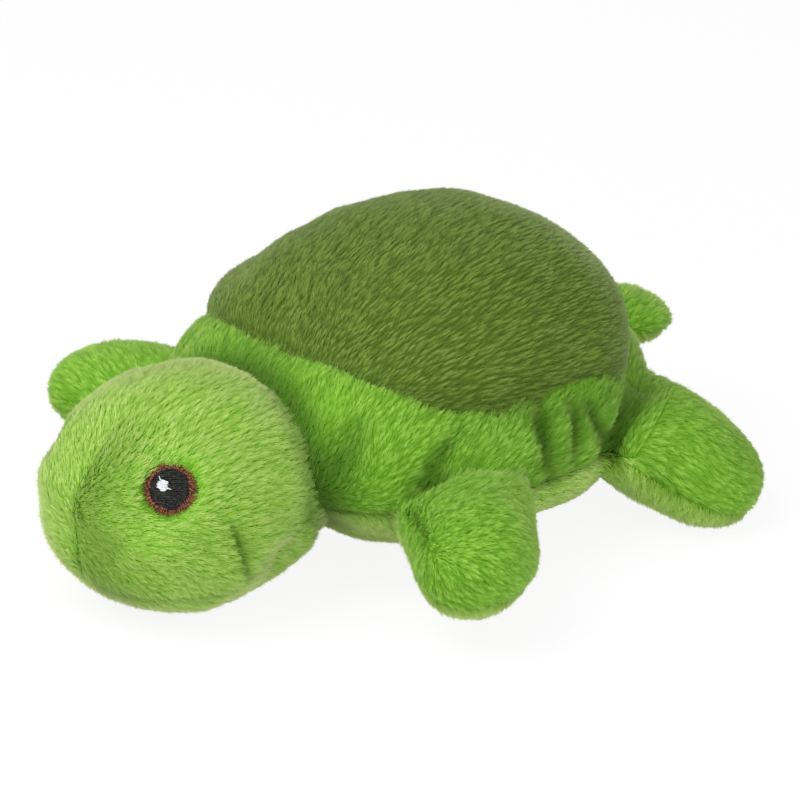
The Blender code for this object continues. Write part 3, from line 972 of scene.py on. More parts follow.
def dress(
    item: bpy.types.Object, finish: BackingCloth | PilePlush | SatinThread
) -> bpy.types.Object:
    """Give a piece its one finish and smooth shading."""
    item.data.materials.clear()
    item.data.materials.append(finish.material())
    shade_smooth(item.data)
    return item


# The forms that the skins and the masks share


SKIN_INSET = 0.0006
BODY = Rounded((0.0, -0.0055, 0.0260), (0.047, 0.057, 0.0260), (0.047, 0.057, 0.0265), 2.10, 2.25, 2.0)
SHELL = Rounded(
    (0.0, 0.0, 0.0355), (0.0440, 0.0466, 0.031), (0.0440, 0.0398, 0.0312), 2.40, 2.00, 2.2, 0.21
)
HEAD = Rounded((0.0, -0.0690, 0.0243), (0.0280, 0.0284, 0.0243), (0.0280, 0.034, 0.0242), 2.12, 1.90, 2.5)
BELLY_SEAM = 0.0195
SEAM_DEPTH, SEAM_WIDTH = 0.0007, 0.0008
OFF_SEAM = 0.1


# Limbs


@dataclass
class Limb:
    """A stuffed limb that grows out of the body's seam and swells to a paddle.

    Args:
        body: The body that the limb is in the frame.
        joint: The hinge that it swings on.
        droop: Angle of the paddle above the level, in radians.
        root: Half width and half thickness in the seam.
        reach: From the hinge line to the tip.
        half_length: Length of the paddle's rounded end.
        half_width: Half width of the paddle.
        half_thickness: Half thickness of the paddle.
        sway: How far the root and the tip lie to the side of the hinge's middle.
        drop: How far the limb's seam lies under its middle.
        comb: Direction of the upper pile.
        seam_offset: Distance from the hinge to where the limb's own skin begins.
        seam_run: Length over which the seam comes down to its drop.
        tip_power: Squareness of the tip seen from above, 2 for an ellipse.
        root_power: Power by which the paddle narrows to its root.
        inset: How far the form is drawn in.
        under_lay: How much the underside's pile lies along the limb.
        seed: Seed of the pile.
    """

    body: str
    joint: str
    droop: float
    root: Pair
    reach: float
    half_length: float
    half_width: float
    half_thickness: float
    sway: Pair
    drop: float
    comb: Triple
    seam_offset: float = 0.0025
    seam_run: float = 0.012
    tip_power: float = 2.3
    root_power: float = 1.3
    inset: float = 0.0001
    under_lay: float = 0.5
    seed: int = 41
    matrix: Matrix = field(init=False)
    heading: Vector = field(init=False)
    hinge: Vector = field(init=False)

    def __post_init__(self) -> None:
        """Take the hinge from the frame and set the limb's own axes on it."""
        found = next(joint for joint in frame["joints"] if joint["name"] == self.joint)
        self.hinge = Vector(found["pos_m"])
        level = UP.cross(Vector(found["axis"]).normalized())
        level = -level if level.dot(self.hinge) < 0.0 else level
        self.heading = (level * math.cos(self.droop) + UP * math.sin(self.droop)).normalized()
        sideways = UP.cross(self.heading).normalized()
        upper = self.heading.cross(sideways)
        turn = Matrix((sideways, upper, self.heading)).transposed().to_4x4()
        self.matrix = Matrix.Translation(self.hinge) @ turn

    def section(self, along: float) -> Pair:
        """Work out the limb's section.

        Args:
            along: Distance from the hinge, towards the tip.

        Returns:
            The half width and the half thickness there.
        """
        middle = self.reach - self.half_length
        if along > middle:
            share = min(1.0, (along - middle) / self.half_length)
            swell = (1.0 - share**self.tip_power) ** (1.0 / self.tip_power)
            return self.half_width * swell, self.half_thickness * swell
        share = min(1.0, (middle - along) / middle) ** self.root_power
        width = self.half_width + (self.root[0] - self.half_width) * share
        thickness = self.half_thickness + (self.root[1] - self.half_thickness) * share
        behind = max(0.0, -along) / self.root[1]
        swell = math.sqrt(max(0.0, 1.0 - behind * behind))
        return width * swell, thickness * swell

    def form(self, rings: int = 56, sides: int = 44) -> bmesh.types.BMesh:
        """Build the limb's closed form from a ball.

        Args:
            rings: Rings of faces from the root to the tip.
            sides: Faces round a ring.

        Returns:
            The form.
        """
        bm = bmesh.new()
        bmesh.ops.create_uvsphere(bm, u_segments=sides, v_segments=rings, radius=1.0)
        back, tip = self.root[1], self.reach
        for vertex in bm.verts:
            polar = math.acos(max(-1.0, min(1.0, -vertex.co.z)))
            along = -back + (tip + back) * (1.0 - math.cos(polar)) / 2.0
            width, thickness = self.section(along)
            around = Vector((vertex.co.x, vertex.co.y))
            pole = around.length < 1e-5
            around = Vector((0.0, 0.0)) if pole else around.normalized()
            shift = self.sway[0] + (self.sway[1] - self.sway[0]) * max(0.0, along) / tip
            vertex.co = Vector((around.x * width + shift, around.y * thickness, along))
        bm.normal_update()
        for vertex, move in [(vertex, vertex.normal * self.inset) for vertex in bm.verts]:
            vertex.co -= move
        bm.transform(self.matrix)
        return bm

    def local(self, co: Points) -> Points:
        """Return places in the limb's own axes: sideways, over the seam's plane and along."""
        turn = np.array(self.matrix.inverted())
        return co @ turn[:3, :3].T + turn[:3, 3]

    def over_seam(self, co: Points) -> Points:
        """Height of each place over the limb's seam, which runs out of the body's seam."""
        inside = self.local(co)
        below = smoothstep(inside[:, 2], self.seam_offset, self.seam_offset + self.seam_run)
        return inside[:, 1] + self.drop * below

    def start(self) -> Vector:
        """Point on the limb's line where its own skin begins."""
        return self.hinge + self.heading * self.seam_offset

    def bend(self, item: bpy.types.Object, reach: float = 0.013) -> bpy.types.Object:
        """Bake a piece's place into its mesh; the torso, the limb's start and an end a reach further are
        passed along.
        """
        end = self.start() + self.heading * reach
        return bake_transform(item, "torso", self.body, start=tuple(self.start()), end=tuple(end))

    def build(self, skin: bpy.types.Mesh, blade: bpy.types.Object) -> None:
        """Make the limb's cloth and its pile.

        Args:
            skin: The limb's skin, closed by a marked cap inside the body.
            blade: One tuft.
        """
        off_seam = np.array(self.heading) * self.under_lay - np.array(self.matrix.col[1].xyz)
        for part, finish, comb, sign in (
            ("top", LIGHT_PILE, self.comb, 1.0), ("underside", BELLY_PILE, off_seam, -1.0),
        ):
            coat = Coat(skin, LIGHT_GROWTH, finish, straight(comb), blade, self.seed)
            panel = self.over_seam(coat.middles) * sign > 0.0
            self.bend(coat.grow(f"{self.body}_{part}_pile", "light_plush", panel))
        cloth = dress(link(self.body + "_cloth", skin), LIGHT_CLOTH)
        panels = (self.body + part for part in ("_top_panel", "_underside_panel", "_stuffing"))
        self.bend(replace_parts(cloth, *panels))


@dataclass
class Torso:
    """The body cushion, and the skins that the limbs grow out of.

    Args:
        limbs: The four flippers and the tail.
        voxel: Size of the cells that the skin is remeshed in.
        rest: Height under which it lies flat.
        folds: Where the cloth is drawn in and shade is painted into it.
        chest: How far the chest is lifted off the floor.
        fade: Length over which a limb's seam takes over from the cushion's.
    """

    limbs: list[Limb]
    voxel: float = 0.0009
    rest: float = 0.0006
    folds: tuple[Fold, ...] = (
        Fold(((40.9, -28.4, 36.0), (41.2, -31.5, 33.2), (40.9, -34.3, 30.3), (40.1, -36.8, 26.8),
              (38.8, -38.8, 23.6)), 0.0026, 0.0026),
        Fold(((38.8, -38.8, 23.6), (40.6, -35.7, 25.7), (42.3, -31.7, 27.8), (44.1, -26.3, 27.9),
              (45.6, -20.6, 25.5), (45.7, -14.3, 21.2), (44.0, -9.0, 16.4)), 0.0014, 0.0020),
        Fold(((43.3, -6.7, 38.0), (46.0, -8.0, 32.8), (47.0, -7.8, 26.3), (45.0, -5.2, 18.5)),
             0.0023, 0.0028, mark=420.0),
        Fold(((44.4, 2.5, 35.7), (46.4, 1.5, 30.2), (46.7, 0.7, 24.9), (45.9, 0.1, 20.9)),
             0.0020, 0.0025, mark=460.0),
        Fold(((44.2, 7.4, 34.7), (45.6, 8.5, 29.1), (44.4, 12.2, 21.9), (42.8, 13.3, 18.8)),
             0.0019, 0.0024, mark=460.0),
        Fold(((36.1, 31.9, 30.0), (43.2, 18.4, 27.1), (44.2, 14.2, 23.1), (43.0, 13.0, 17.0)),
             0.0025, 0.0024, mark=420.0),
        Fold(((22.0, 46.0, 38.0), (30.0, 36.0, 36.0), (35.0, 32.0, 33.0), (38.0, 27.0, 33.0)),
             0.0046, 0.0080, mark=0.0),
        Fold(((28.0, -42.2, 41.1), (29.6, -46.4, 36.6), (30.1, -49.6, 31.0), (30.0, -50.4, 24.5)),
             0.0022, 0.0045),
        Fold(((40.5, -1.0, 9.0), (38.5, 10.0, 8.0), (34.0, 20.0, 7.0)), -0.0026, 0.0075),
        Fold(((0.0, -46.0, 43.0), (16.0, -43.0, 42.0), (28.0, -37.0, 40.0), (35.0, -29.0, 38.0)),
             -0.0010, 0.0060),
    )
    chest: float = 0.0054
    fade: float = 0.004

    def skin(self) -> bpy.types.Mesh:
        """Return the torso and its limbs as one smooth closed skin."""
        joined = bmesh.new()
        joined.from_mesh(BODY.mesh("cushion", -SKIN_INSET, fineness=6))
        for limb in self.limbs:
            joined.from_mesh(mesh_of(limb.form(), limb.body))
        item = link("skin", mesh_of(joined, "skin"))
        modify(item, "REMESH", {"mode": "VOXEL", "voxel_size": self.voxel})
        modify(item, "SMOOTH", {"factor": 0.5, "iterations": 9})
        mesh = baked(item, "skin")
        settle(mesh, self.rest, lumps=0.00022, seed=3)
        self.lift_chest(mesh)
        before = normals(mesh)
        draw_in(mesh, self.folds)
        remember_facing(mesh, before)
        # Painted shade where the head and the shell meet the cushion.
        tuck(mesh, HEAD, depth=0.0018, width=0.0040)
        tuck(mesh, SHELL, depth=0.0006, width=0.0010)
        self.sew(mesh)
        return mesh

    def lift_chest(self, mesh: bpy.types.Mesh) -> None:
        """Lift the underside of the chest off the floor between the front flippers."""
        co, top = places(mesh), 0.030
        beside = smoothstep(abs(co[:, 0]), low=0.035, high=0.042)
        share = smoothstep(-co[:, 1], low=0.026, high=0.046) * (1.0 - beside)
        co[:, 2] += self.chest * share * np.clip(1.0 - co[:, 2] / top, 0.0, 1.0)
        put(mesh, co)

    def sew(self, mesh: bpy.types.Mesh) -> None:
        """Draw the skin in along the seams of the cushion and of every limb, and paint shade into them.
        """
        for limb in self.limbs:
            co, start = places(mesh), limb.seam_offset
            outside = 1.0 - smoothstep(limb.local(co)[:, 2], start, start + self.fade)
            groove(mesh, limb.over_seam(co) + outside * OFF_SEAM, 0.6 * SEAM_DEPTH, SEAM_WIDTH)
        co = places(mesh)
        height = co[:, 2] - BELLY_SEAM
        for limb in self.limbs[:4]:
            start = limb.seam_offset
            height += smoothstep(limb.local(co)[:, 2], start - self.fade, start) * OFF_SEAM
        groove(mesh, height, SEAM_DEPTH, SEAM_WIDTH)

    def build(self, blade: bpy.types.Object) -> None:
        """Make the side, the belly and every limb."""
        whole = self.skin()
        for limb in self.limbs:
            beyond = cut(whole, limb.start(), limb.heading)
            limb.build(part_at(beyond, limb.hinge + limb.heading * limb.reach), blade)
        for limb in self.limbs:
            whole = cut(whole, limb.start(), -limb.heading)
        seam = UP * BELLY_SEAM
        side, belly = cut(whole, seam, UP), cut(whole, seam, -UP)

        def free(middles: Points) -> Points:
            """Places outside the shell and the head."""
            off_shell = SHELL.level(middles, grow=-0.0016) > 1.0
            return off_shell & (HEAD.level(middles, grow=-0.0022) > 1.0)

        up_and_back, back = straight((0.0, 1.0, 0.9)), straight((0.0, 1.0, -0.2))
        coat = Coat(side, LIGHT_GROWTH, LIGHT_PILE, up_and_back, blade, seed=20)
        for hand in Side:
            cover = free(coat.middles) & hand.holds(coat.middles)
            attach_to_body(coat.grow("side_pile_" + hand.word, "light_plush", cover), "torso")
        coat = Coat(belly, BELLY_GROWTH, BELLY_PILE, back, blade, seed=31)
        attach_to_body(coat.grow("belly_pile", "belly_plush", free(coat.middles)), "torso")
        for name, mesh, slot, nodes in (
            ("side_cloth", side, "light_plush", ("side_panel", "body_stuffing")),
            ("belly_cloth", belly, "belly_plush", ("belly_panel",)),
        ):
            item = dress(link(name, mesh), LIGHT_CLOTH)
            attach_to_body(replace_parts(item, *nodes), "torso")


@dataclass
class Shell:
    """The domed shell, one dark cloth sewn on the cushion.

    Args:
        tuck: How far its skin goes down from the shell's middle, into the cushion.
        folds: Where the cloth is drawn in and shade is painted into it.
    """

    tuck: float = 0.0065
    folds: tuple[Fold, ...] = (
        Fold(((-6.7, -36.2, 53.3), (-3.0, -39.5, 50.0), (-0.5, -41.0, 47.0)), 0.0010, 0.003,
             both=False),
        Fold(((-38.5, -13.0, 46.5), (-37.5, -19.0, 44.0), (-34.0, -25.0, 43.0)), -0.0020, 0.0060,
             both=False),
        Fold(((-38.5, -24.0, 42.0), (-27.0, -34.0, 46.5), (0.0, -39.5, 49.0), (27.0, -34.0, 46.5),
              (38.5, -24.0, 42.0)), -0.0024, 0.0060, both=False),
        Fold(((44.0, -9.0, 39.0), (45.0, 3.0, 37.5), (43.0, 15.0, 37.0)), 0.0021, 0.0055, mark=0.0),
    )

    def build(self, blade: bpy.types.Object) -> None:
        """Make the shell's cloth and its pile."""
        whole = SHELL.mesh("shell", -SKIN_INSET, fineness=7)
        mesh = cut(whole, Vector(SHELL.centre) - UP * self.tuck, UP)
        settle(mesh, rest=0.0, lumps=0.00025, seed=5)
        before = normals(mesh)
        draw_in(mesh, self.folds)
        remember_facing(mesh, before)
        # Painted shade where the shell meets the cushion.
        tuck(mesh, BODY, depth=0.0005, width=0.0009)
        coat = Coat(mesh, SHELL_GROWTH, SHELL_PILE, straight((0.0, 1.0, 0.0)), blade, seed=11)
        free = BODY.level(coat.middles, grow=-0.0022) > 1.0
        for part, sign in (("front", -1.0), ("back", 1.0)):
            cover = free & (coat.middles[:, 1] * sign > 0.0)
            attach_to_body(coat.grow("shell_pile_" + part, "shell_plush", cover), "torso")
        item = dress(link("shell_cloth", mesh), SHELL_CLOTH)
        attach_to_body(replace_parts(item, "shell_panel"), "torso")


@dataclass
class Head:
    """The stuffed head with its nose seam, chin seam, mouth darts and eyes.

    Args:
        mouth: The dart of the mouth, with painted shade in it.
        hollow: Where the cheek is drawn in towards the neck.
        bare: Distance from the mouth's line within which no pile grows, so that the dark backing shows
            there as painted shade of the dart.
        pucker: How far the cloth is drawn in under an eye.
        pucker_width: Half width of that hollow.
        rest: Height under which the skin lies flat.
        seam: Depth and half width of the nose seam and the chin seam.
    """

    mouth: Fold = Fold(
        ((27.3, -77.8, 25.6), (27.6, -76.5, 22.7), (27.6, -75.2, 19.0), (26.8, -73.6, 14.4),
         (25.6, -72.1, 11.3)), 0.0028, 0.0012, mark=600.0,
    )
    hollow: Fold = Fold(
        ((20.0, -58.0, 6.0), (25.0, -61.0, 11.0), (26.5, -58.0, 16.0)), 0.0034, 0.0065, mark=0.0
    )
    bare: float = 0.00060
    pucker: float = 0.0025
    pucker_width: float = 0.0062
    rest: float = 0.0006
    seam: Pair = (0.0004, 0.0009)

    def chin_height(self, co: Points) -> Points:
        """Height of each place over the chin seam, which rises towards the neck."""
        return co[:, 2] - 0.0090 - 0.5 * np.clip(co[:, 1] + 0.0760, 0.0, 0.022)

    def form(self, eyes: list["Eye"]) -> bpy.types.Mesh:
        """Return the head's closed skin."""
        mesh = HEAD.mesh("head", -SKIN_INSET, fineness=7)
        settle(mesh, self.rest, lumps=0.00022, seed=9)
        draw_in(mesh, (self.hollow,))
        remember_facing(mesh, normals(mesh))
        draw_in(mesh, (self.mouth,))
        # Painted shade where the head meets the cushion.
        tuck(mesh, BODY, depth=0.0010, width=0.0014)
        co = places(mesh)
        # Painted shade: a darker band beside the nose seam on the left side, where the pile lies so that
        # it looks darker in the light. The skin moves by a millionth of a metre only, so the press just
        # paints the crease mark.
        nose_shade_band = smoothstep(co[:, 0], 0.0, 0.002) * (1.0 - smoothstep(co[:, 0], 0.005, 0.017))
        press(mesh, 1e-6 * nose_shade_band * smoothstep(-co[:, 1], low=0.080, high=0.092), mark=3.8e5)
        above = smoothstep(self.chin_height(co), low=0.0, high=0.004)
        low = 1.0 - smoothstep(co[:, 2], low=0.030, high=0.040)
        groove(mesh, co[:, 0] + 1.0 - above * low, *self.seam)
        groove(mesh, self.chin_height(places(mesh)), *self.seam)
        # Painted shade: the hollow round each eye is darkened as its contact shade.
        for eye in eyes:
            away = eye.away(places(mesh))
            press(mesh, self.pucker * np.exp(-((away / self.pucker_width) ** 6)), mark=120.0)
        return mesh

    def build(self, blade: bpy.types.Object) -> None:
        """Make the head's cloth, its three piles and its eyes."""
        eyes = [Eye(hand) for hand in Side]
        mesh = self.form(eyes)

        def nearest_eye(co: Points) -> Points:
            """Distance to the nearer eye's middle."""
            return np.min([eye.away(co) for eye in eyes], axis=0)

        def tall(co: Points) -> Points:
            """Pile that is shorter beside the eyes and the mouth."""
            beside = 0.85 + 0.15 * smoothstep(nearest_eye(co), eyes[0].radius, 0.0095)
            return beside * (0.65 + 0.35 * smoothstep(self.mouth.away(co)[0], 0.0004, 0.0022))

        def back(co: Points, square: Points) -> Points:
            """Comb of the head: back from the nose, and upwards on the nose's right."""
            ahead = np.clip(-square[:, 1], 0.0, 1.0) ** 2
            comb = np.tile((0.0, 1.0, 0.06), (len(co), 1))
            comb[:, 0] += np.where(co[:, 0] > 0.0, 0.7, 0.0) * ahead
            comb[:, 2] += np.where(co[:, 0] > 0.0, 0.0, 1.2) * ahead
            return comb

        coat = Coat(mesh, LIGHT_GROWTH, HEAD_PILE, back, blade, 53, tall)
        seen = BODY.level(coat.middles, -0.0040) > 1.0
        ahead_of = coat.middles - np.array((0.0, -0.0013, -0.0006))
        seen &= nearest_eye(ahead_of) > eyes[0].radius + 0.0002
        seen &= self.mouth.away(coat.middles)[0] > self.bare
        chin = self.chin_height(coat.middles) < 0.0
        for part, cover in (
            ("left", ~chin & Side.LEFT.holds(coat.middles)),
            ("right", ~chin & ~Side.LEFT.holds(coat.middles)),
            ("chin", chin),
        ):
            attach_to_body(coat.grow(f"head_{part}_pile", "light_plush", seen & cover), "head")
        item = dress(link("head_cloth", mesh), LIGHT_CLOTH)
        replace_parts(item, "head_left_panel", "head_right_panel", "head_chin_panel", "head_stuffing")
        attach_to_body(item, "head")
        self.build_neck()
        for eye in eyes:
            eye.build()

    def build_neck(self) -> None:
        """Make the cushion of fill that the head turns on, out of sight in the neck."""
        low, high = (np.array(corner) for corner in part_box("neck_pad"))
        half = tuple((high - low) * 0.46)
        pad = Rounded(tuple((low + high) / 2.0), half, half, 2.2, 2.2, 2.2)
        item = dress(link("neck_fill", pad.mesh("neck_fill", 0.0, 4)), FILL_CLOTH)
        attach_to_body(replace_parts(item, "neck_pad"), "neck")


# Embroidered eyes


@dataclass
class Eye:
    """An embroidered eye: a brown ring, a black pupil and a white glint, all of stitches.

    Args:
        side: The side of the head that it is on.
        radius: Radius of the ring.
        pupil_radius: Radius of the pupil.
        thread: Radius of the thread.
        sink: How far the stitching lies under the head's form.
        seed: Seed of the stitches' unevenness.
    """

    side: Side
    radius: float = 0.0057
    pupil_radius: float = 0.0044
    thread: float = 0.00019
    sink: float = 0.0025
    seed: int = 71
    middle: Vector = field(init=False)
    across: Vector = field(init=False)
    over: Vector = field(init=False)

    def __post_init__(self) -> None:
        """Take the eye's place from the frame."""
        low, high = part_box(f"eye_{self.side.word}_pupil")
        self.middle = self.on_head((low + high) / 2.0, 0.0)
        out = (self.middle - Vector(HEAD.centre)).normalized()
        self.across = UP.cross(out).normalized() * self.side.value
        self.over = out.cross(UP.cross(out).normalized())

    def on_head(self, point: Vector, lift: float) -> Vector:
        """Move a point straight out from the head's middle to its surface, plus a lift."""
        return Vector(HEAD.onto(np.array(point)[None, :], lift)[0])

    def away(self, co: Points) -> Points:
        """Distance of each place from the eye's middle."""
        return np.linalg.norm(co - np.array(self.middle), axis=1)

    def lay(self, bm: bmesh.types.BMesh, name: str) -> bpy.types.Object:
        """Wrap flat stitching on the head.

        Args:
            bm: The stitching, with X back along the head, Y up and Z out of it.
            name: The piece's name.

        Returns:
            The piece.
        """
        bright = bm.verts.layers.float.new("bright")
        for vertex in bm.verts:
            far = math.hypot(vertex.co.x, vertex.co.y) / self.radius
            vertex[bright] = min(1.0, max(0.1, (1.10 - far) / 0.12))
            flat = self.middle + self.across * vertex.co.x + self.over * vertex.co.y
            vertex.co = self.on_head(flat, vertex.co.z - self.sink)
        bmesh.ops.recalc_face_normals(bm, faces=bm.faces)
        return link(name, mesh_of(bm, name))

    def stitch(
        self, bm: bmesh.types.BMesh, start: Vector, end: Vector, rise: float, thick: float
    ) -> None:
        """Add one stitch: a thread that comes up at one end and goes down at the other."""
        made = bmesh.ops.create_uvsphere(bm, u_segments=6, v_segments=6, radius=1.0)["verts"]
        run = end - start
        for vertex in made:
            along = math.copysign(abs(vertex.co.z) ** 0.6, vertex.co.z)
            arch = rise * (1.0 - along * along)
            vertex.co = Vector((along * run.length / 2.0, vertex.co.x * thick,
                                vertex.co.y * thick + arch))
        turn = Matrix.Rotation(math.atan2(run.y, run.x), 4, "Z")
        bmesh.ops.transform(bm, matrix=Matrix.Translation((start + end) / 2.0) @ turn, verts=made)

    def spokes(
        self, bm: bmesh.types.BMesh, draw: np.random.Generator, count: int,
        reach: Pair, uneven: float, slant: float, height: float, thick: float,
    ) -> None:
        """Add a ring of radial stitches.

        Args:
            bm: The stitching.
            draw: Draws the unevenness.
            count: Number of stitches.
            reach: Radius at their inner and outer ends.
            uneven: Unevenness of the ends.
            slant: Turn of the outer end past the inner one, in radians.
            height: Height of the ends over the cloth.
            thick: Radius of the thread.
        """
        for index in range(count):
            angle = math.tau * (index + draw.uniform(-0.3, 0.3)) / count
            ends = []
            for radius, turn in zip(reach, (0.0, slant)):
                far = radius + draw.uniform(-uneven, uneven)
                ends.append(Vector((math.cos(angle + turn) * far, math.sin(angle + turn) * far, height)))
            self.stitch(bm, ends[0], ends[1], draw.uniform(0.0001, 0.0003), thick)

    def pad(self, bm: bmesh.types.BMesh, radius: float, height: float) -> None:
        """Add a low pad under the stitches."""
        made = bmesh.ops.create_uvsphere(bm, u_segments=32, v_segments=10, radius=1.0)["verts"]
        bmesh.ops.scale(bm, vec=(radius, radius, height), verts=made)

    def ring(self, draw: np.random.Generator) -> bmesh.types.BMesh:
        """Stitch the ring: thin loose stitches high on its edge, and two close rows."""
        bm = bmesh.new()
        outer, inner = self.radius, self.pupil_radius
        for count, reach, uneven, slant, height, thick in (
            (66, (outer - 0.0010, outer + 0.0010), 0.0004, 0.02, 0.0007, 0.00012),
            (64, (outer - 0.0010, outer + 0.0001), 0.0002, 0.10, 0.0004, self.thread),
            (54, (inner - 0.0001, inner + 0.0009), 0.0002, -0.12, 0.0005, self.thread),
        ):
            self.spokes(bm, draw, count, reach, uneven, slant, height, thick)
        return bm

    def pupil(self, draw: np.random.Generator) -> bmesh.types.BMesh:
        """Stitch the pupil: rows of three stitches each, over a low pad."""
        bm = bmesh.new()
        self.pad(bm, self.radius - 0.0003, 0.0003)
        rows, overlap, lift = 21, 0.00015, 0.00045
        for index in range(rows):
            row = -1.0 + 2.0 * (index + 0.5) / rows
            half = self.pupil_radius * math.sqrt(1.0 - row * row)
            stops = [-half, *sorted(draw.uniform(-0.7 * half, 0.7 * half, 2)), half]
            for start, end in zip(stops, stops[1:]):
                height = self.pupil_radius * row + draw.uniform(-0.00006, 0.00006)
                self.stitch(
                    bm, Vector((start - overlap, height, lift)), Vector((end + overlap, height, lift)),
                    draw.uniform(0.0001, 0.0003), self.thread * draw.uniform(0.95, 1.2),
                )
        return bm

    def glint(self, draw: np.random.Generator) -> bmesh.types.BMesh:
        """Stitch the glint: short rows in a round spot, with two stray ends of thread."""
        bm = bmesh.new()
        spot, radius, rows = Vector((-0.0016, 0.0006, 0.00075)), 0.0012, 9
        for index in range(rows):
            row = -1.0 + 2.0 * (index + 0.5) / rows
            half = radius * math.sqrt(1.0 - row * row) + draw.uniform(0.0, 0.0003)
            middle = spot + Vector((0.15 * row, 1.0, 0.0)) * (row * radius)
            arm = Vector((half, draw.uniform(-0.0002, 0.0002), 0.0))
            self.stitch(bm, middle - arm, middle + arm, 0.0002, self.thread)
        for tail in (Vector((-0.0008, 0.0021, 0.0)), Vector((0.0020, -0.0009, 0.0))):
            self.stitch(bm, spot + tail * 0.4, spot + tail, 0.0001, self.thread * 0.7)
        return bm

    def build(self) -> None:
        """Sew the ring, the pupil and the glint on, all from one row of draws."""
        draw = np.random.default_rng(self.seed)
        name = "eye_" + self.side.word
        stitches = self.lay(self.ring(draw), name + "_ring_stitches")
        ring = dress(stitches, RING_THREAD)
        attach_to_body(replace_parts(ring, name + "_ring"), "head")
        stitches = self.lay(self.pupil(draw), name + "_pupil_stitches")
        pupil = dress(stitches, PUPIL_THREAD)
        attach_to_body(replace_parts(pupil, name + "_pupil"), "head")
        stitches = self.lay(self.glint(draw), name + "_glint_stitches")
        glint = dress(stitches, GLINT_THREAD)
        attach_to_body(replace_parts(glint, name + "_highlight"), "head")


# Studio


WHITE = (1.0, 1.0, 1.0)


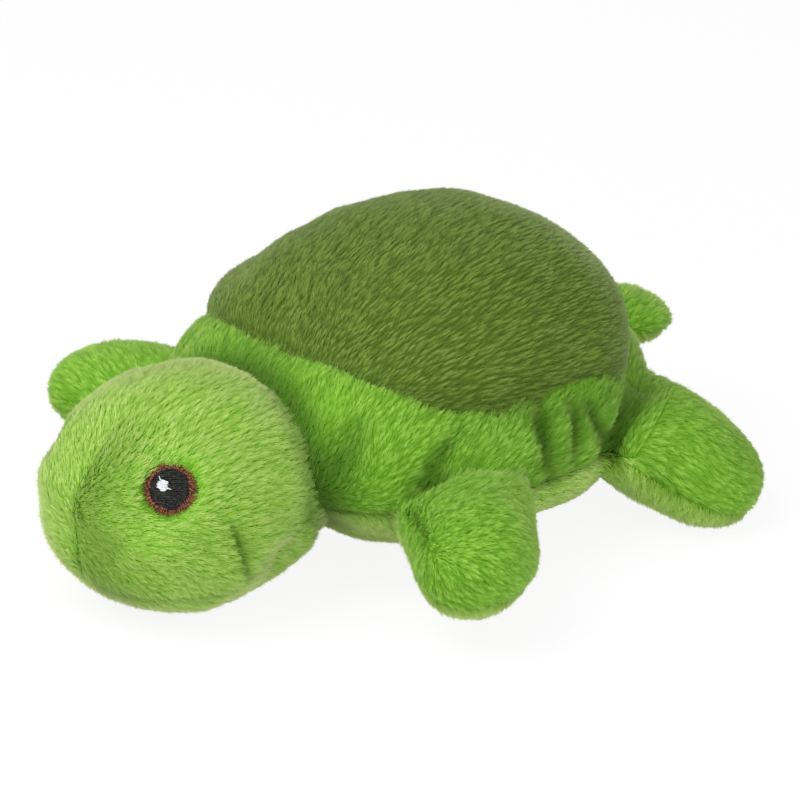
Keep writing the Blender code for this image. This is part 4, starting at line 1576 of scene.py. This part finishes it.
@dataclass
class Studio:
    """The pale floor, the soft lamps and the camera.

    Args:
        azimuth: The camera's angle round the toy, from straight ahead of it.
        elevation: Its angle over the level.
        distance: Its distance from the aim.
        aim: What it and the lamps face.
        picture: Width of the picture, in pixels.
        focal_pixels: Focal length, in pixels.
        shift_pixels: How far the picture's middle lies off the lens's axis.
        sensor: Width of the sensor, in millimetres.
        floor_radius: Radius of the floor.
        floor_grey: How pale the floor is.
        floor_glow: The floor's own light, and what it gains where it shows.
        surround: The surround's light, and what it gains where it shows.
    """

    azimuth: float = math.radians(47.2076)
    elevation: float = math.radians(22.4548)
    distance: float = 0.97733
    aim: Vector = field(default_factory=lambda: Vector((0.0, 0.0, 0.025)))
    picture: float = 800.0
    focal_pixels: float = 4515.3
    shift_pixels: Pair = (23.17, 7.22)
    sensor: float = 36.0
    floor_radius: float = 3.0
    floor_grey: float = 0.88
    floor_glow: Pair = (0.35, 0.55)
    surround: Pair = (0.46, 0.54)

    def camera(self) -> None:
        """Place the camera at the photograph's viewing angle."""
        data = bpy.data.cameras.new("camera")
        data.sensor_width = self.sensor
        data.lens = self.focal_pixels / self.picture * self.sensor
        data.shift_x = -self.shift_pixels[0] / self.picture
        data.shift_y = -self.shift_pixels[1] / self.picture
        item = bpy.data.objects.new("camera", data)
        bpy.context.scene.collection.objects.link(item)
        back = Vector((
            math.sin(self.azimuth) * math.cos(self.elevation),
            -math.cos(self.azimuth) * math.cos(self.elevation),
            math.sin(self.elevation),
        ))
        item.location = self.aim + back * self.distance
        item.rotation_euler = back.to_track_quat("Z", "Y").to_euler()
        bpy.context.scene.camera = item

    def seen(self, graph: Graph) -> Wire:
        """Return 1 for rays that show the backdrop: from the camera, in gloss or through glass."""
        rays = graph.node("ShaderNodeLightPath")
        share = graph.out(rays, "Is Camera Ray")
        for kind in ("Is Glossy Ray", "Is Transmission Ray"):
            made = graph.node(
                "ShaderNodeMath", {"operation": "MAXIMUM"}, {0: share, 1: graph.out(rays, kind)}
            )
            share = graph.out(made)
        return share

    def floor(self) -> None:
        """Lay a pale floor that keeps the toy's shadow."""
        bm = bmesh.new()
        bmesh.ops.create_circle(bm, cap_ends=True, segments=96, radius=self.floor_radius)
        item = link("floor", mesh_of(bm, "floor"))
        material, graph = new_material("pale_floor")
        board = graph.node("ShaderNodeBsdfDiffuse", {}, {"Color": paint((self.floor_grey,) * 3)})
        white = graph.node("ShaderNodeEmission", {}, {"Color": paint(WHITE)})
        least, more = self.floor_glow
        mixed = graph.node(
            "ShaderNodeMixShader", {},
            {0: least + more * self.seen(graph), 1: graph.out(board), 2: graph.out(white)},
        )
        graph.node("ShaderNodeOutputMaterial", {}, {"Surface": graph.out(mixed)})
        item.data.materials.append(material)

    def lamp(self, name: str, place: Triple, power: float, width: float) -> None:
        """Hang a soft square lamp that faces the toy."""
        data = bpy.data.lights.new(name, "AREA")
        data.energy = power
        data.size = width
        item = bpy.data.objects.new(name, data)
        bpy.context.scene.collection.objects.link(item)
        item.location = place
        item.rotation_euler = (Vector(place) - self.aim).to_track_quat("Z", "Y").to_euler()

    def world(self) -> None:
        """Light the toy evenly from a white surround."""
        world = bpy.data.worlds.new("surround")
        world.use_nodes = True
        bpy.context.scene.world = world
        graph = Graph(world.node_tree)
        least, more = self.surround
        inputs = {"Color": paint(WHITE), "Strength": least + more * self.seen(graph)}
        light = graph.node("ShaderNodeBackground", {}, inputs)
        graph.node("ShaderNodeOutputWorld", {}, {"Surface": graph.out(light)})

    def build(self) -> None:
        """Set up the whole studio."""
        bpy.context.scene.view_settings.view_transform = "Standard"
        self.camera()
        self.floor()
        self.world()
        self.lamp("key", (-0.15, -0.60, 1.00), power=10.4, width=0.7)
        self.lamp("fill", (1.00, -0.10, 0.45), power=5.6, width=0.8)
        self.lamp("front", (0.35, -0.85, 0.22), power=3.2, width=0.6)


def limbs() -> list[Limb]:
    """Return the four flippers and the tail."""
    front_left = Limb(
        "front_left_flipper", "front_left_flap", droop=math.radians(-6.9), root=(0.0150, 0.0098),
        reach=0.0324, half_length=0.0164, half_width=0.0131, half_thickness=0.0110,
        sway=(0.0020, -0.0066), drop=0.0040, comb=(0.70, 0.65, -0.55),
    )
    front_right = Limb(
        "front_right_flipper", "front_right_flap", droop=math.radians(-0.4), root=(0.0130, 0.0090),
        reach=0.0330, half_length=0.0148, half_width=0.0142, half_thickness=0.0086,
        sway=(0.0, 0.0035), drop=0.0040, comb=(-0.95, 0.1, 0.0),
    )
    rear_left, rear_right = (
        Limb(
            f"rear_{side.word}_flipper", f"rear_{side.word}_flap", droop=math.radians(-30.7),
            root=(0.0185, 0.0105), reach=0.0303, half_length=0.0216, half_width=0.0169,
            half_thickness=0.0113, sway=(0.0, 0.0), drop=0.0008, comb=(0.82 * side.value, 0.57, -0.5),
        )
        for side in Side
    )
    tail = Limb(
        "tail", "tail_flap", droop=math.radians(-7.0), root=(0.0090, 0.0040), reach=0.0194,
        half_length=0.0140, half_width=0.0120, half_thickness=0.0056, sway=(0.0, 0.0), drop=0.0015,
        comb=(0.0, 1.0, 0.1), seam_offset=0.0015,
    )
    return [front_left, front_right, rear_left, rear_right, tail]


def main() -> None:
    """Build the studio, the torso with its limbs, the shell and the head."""
    logging.basicConfig(level=logging.INFO, format="%(name)s: %(message)s")
    Studio().build()
    blade = tuft()
    Torso(limbs()).build(blade)
    Shell().build(blade)
    Head().build(blade)
    bpy.data.objects.remove(blade, do_unlink=True)


if __name__ == "__main__":
    main()
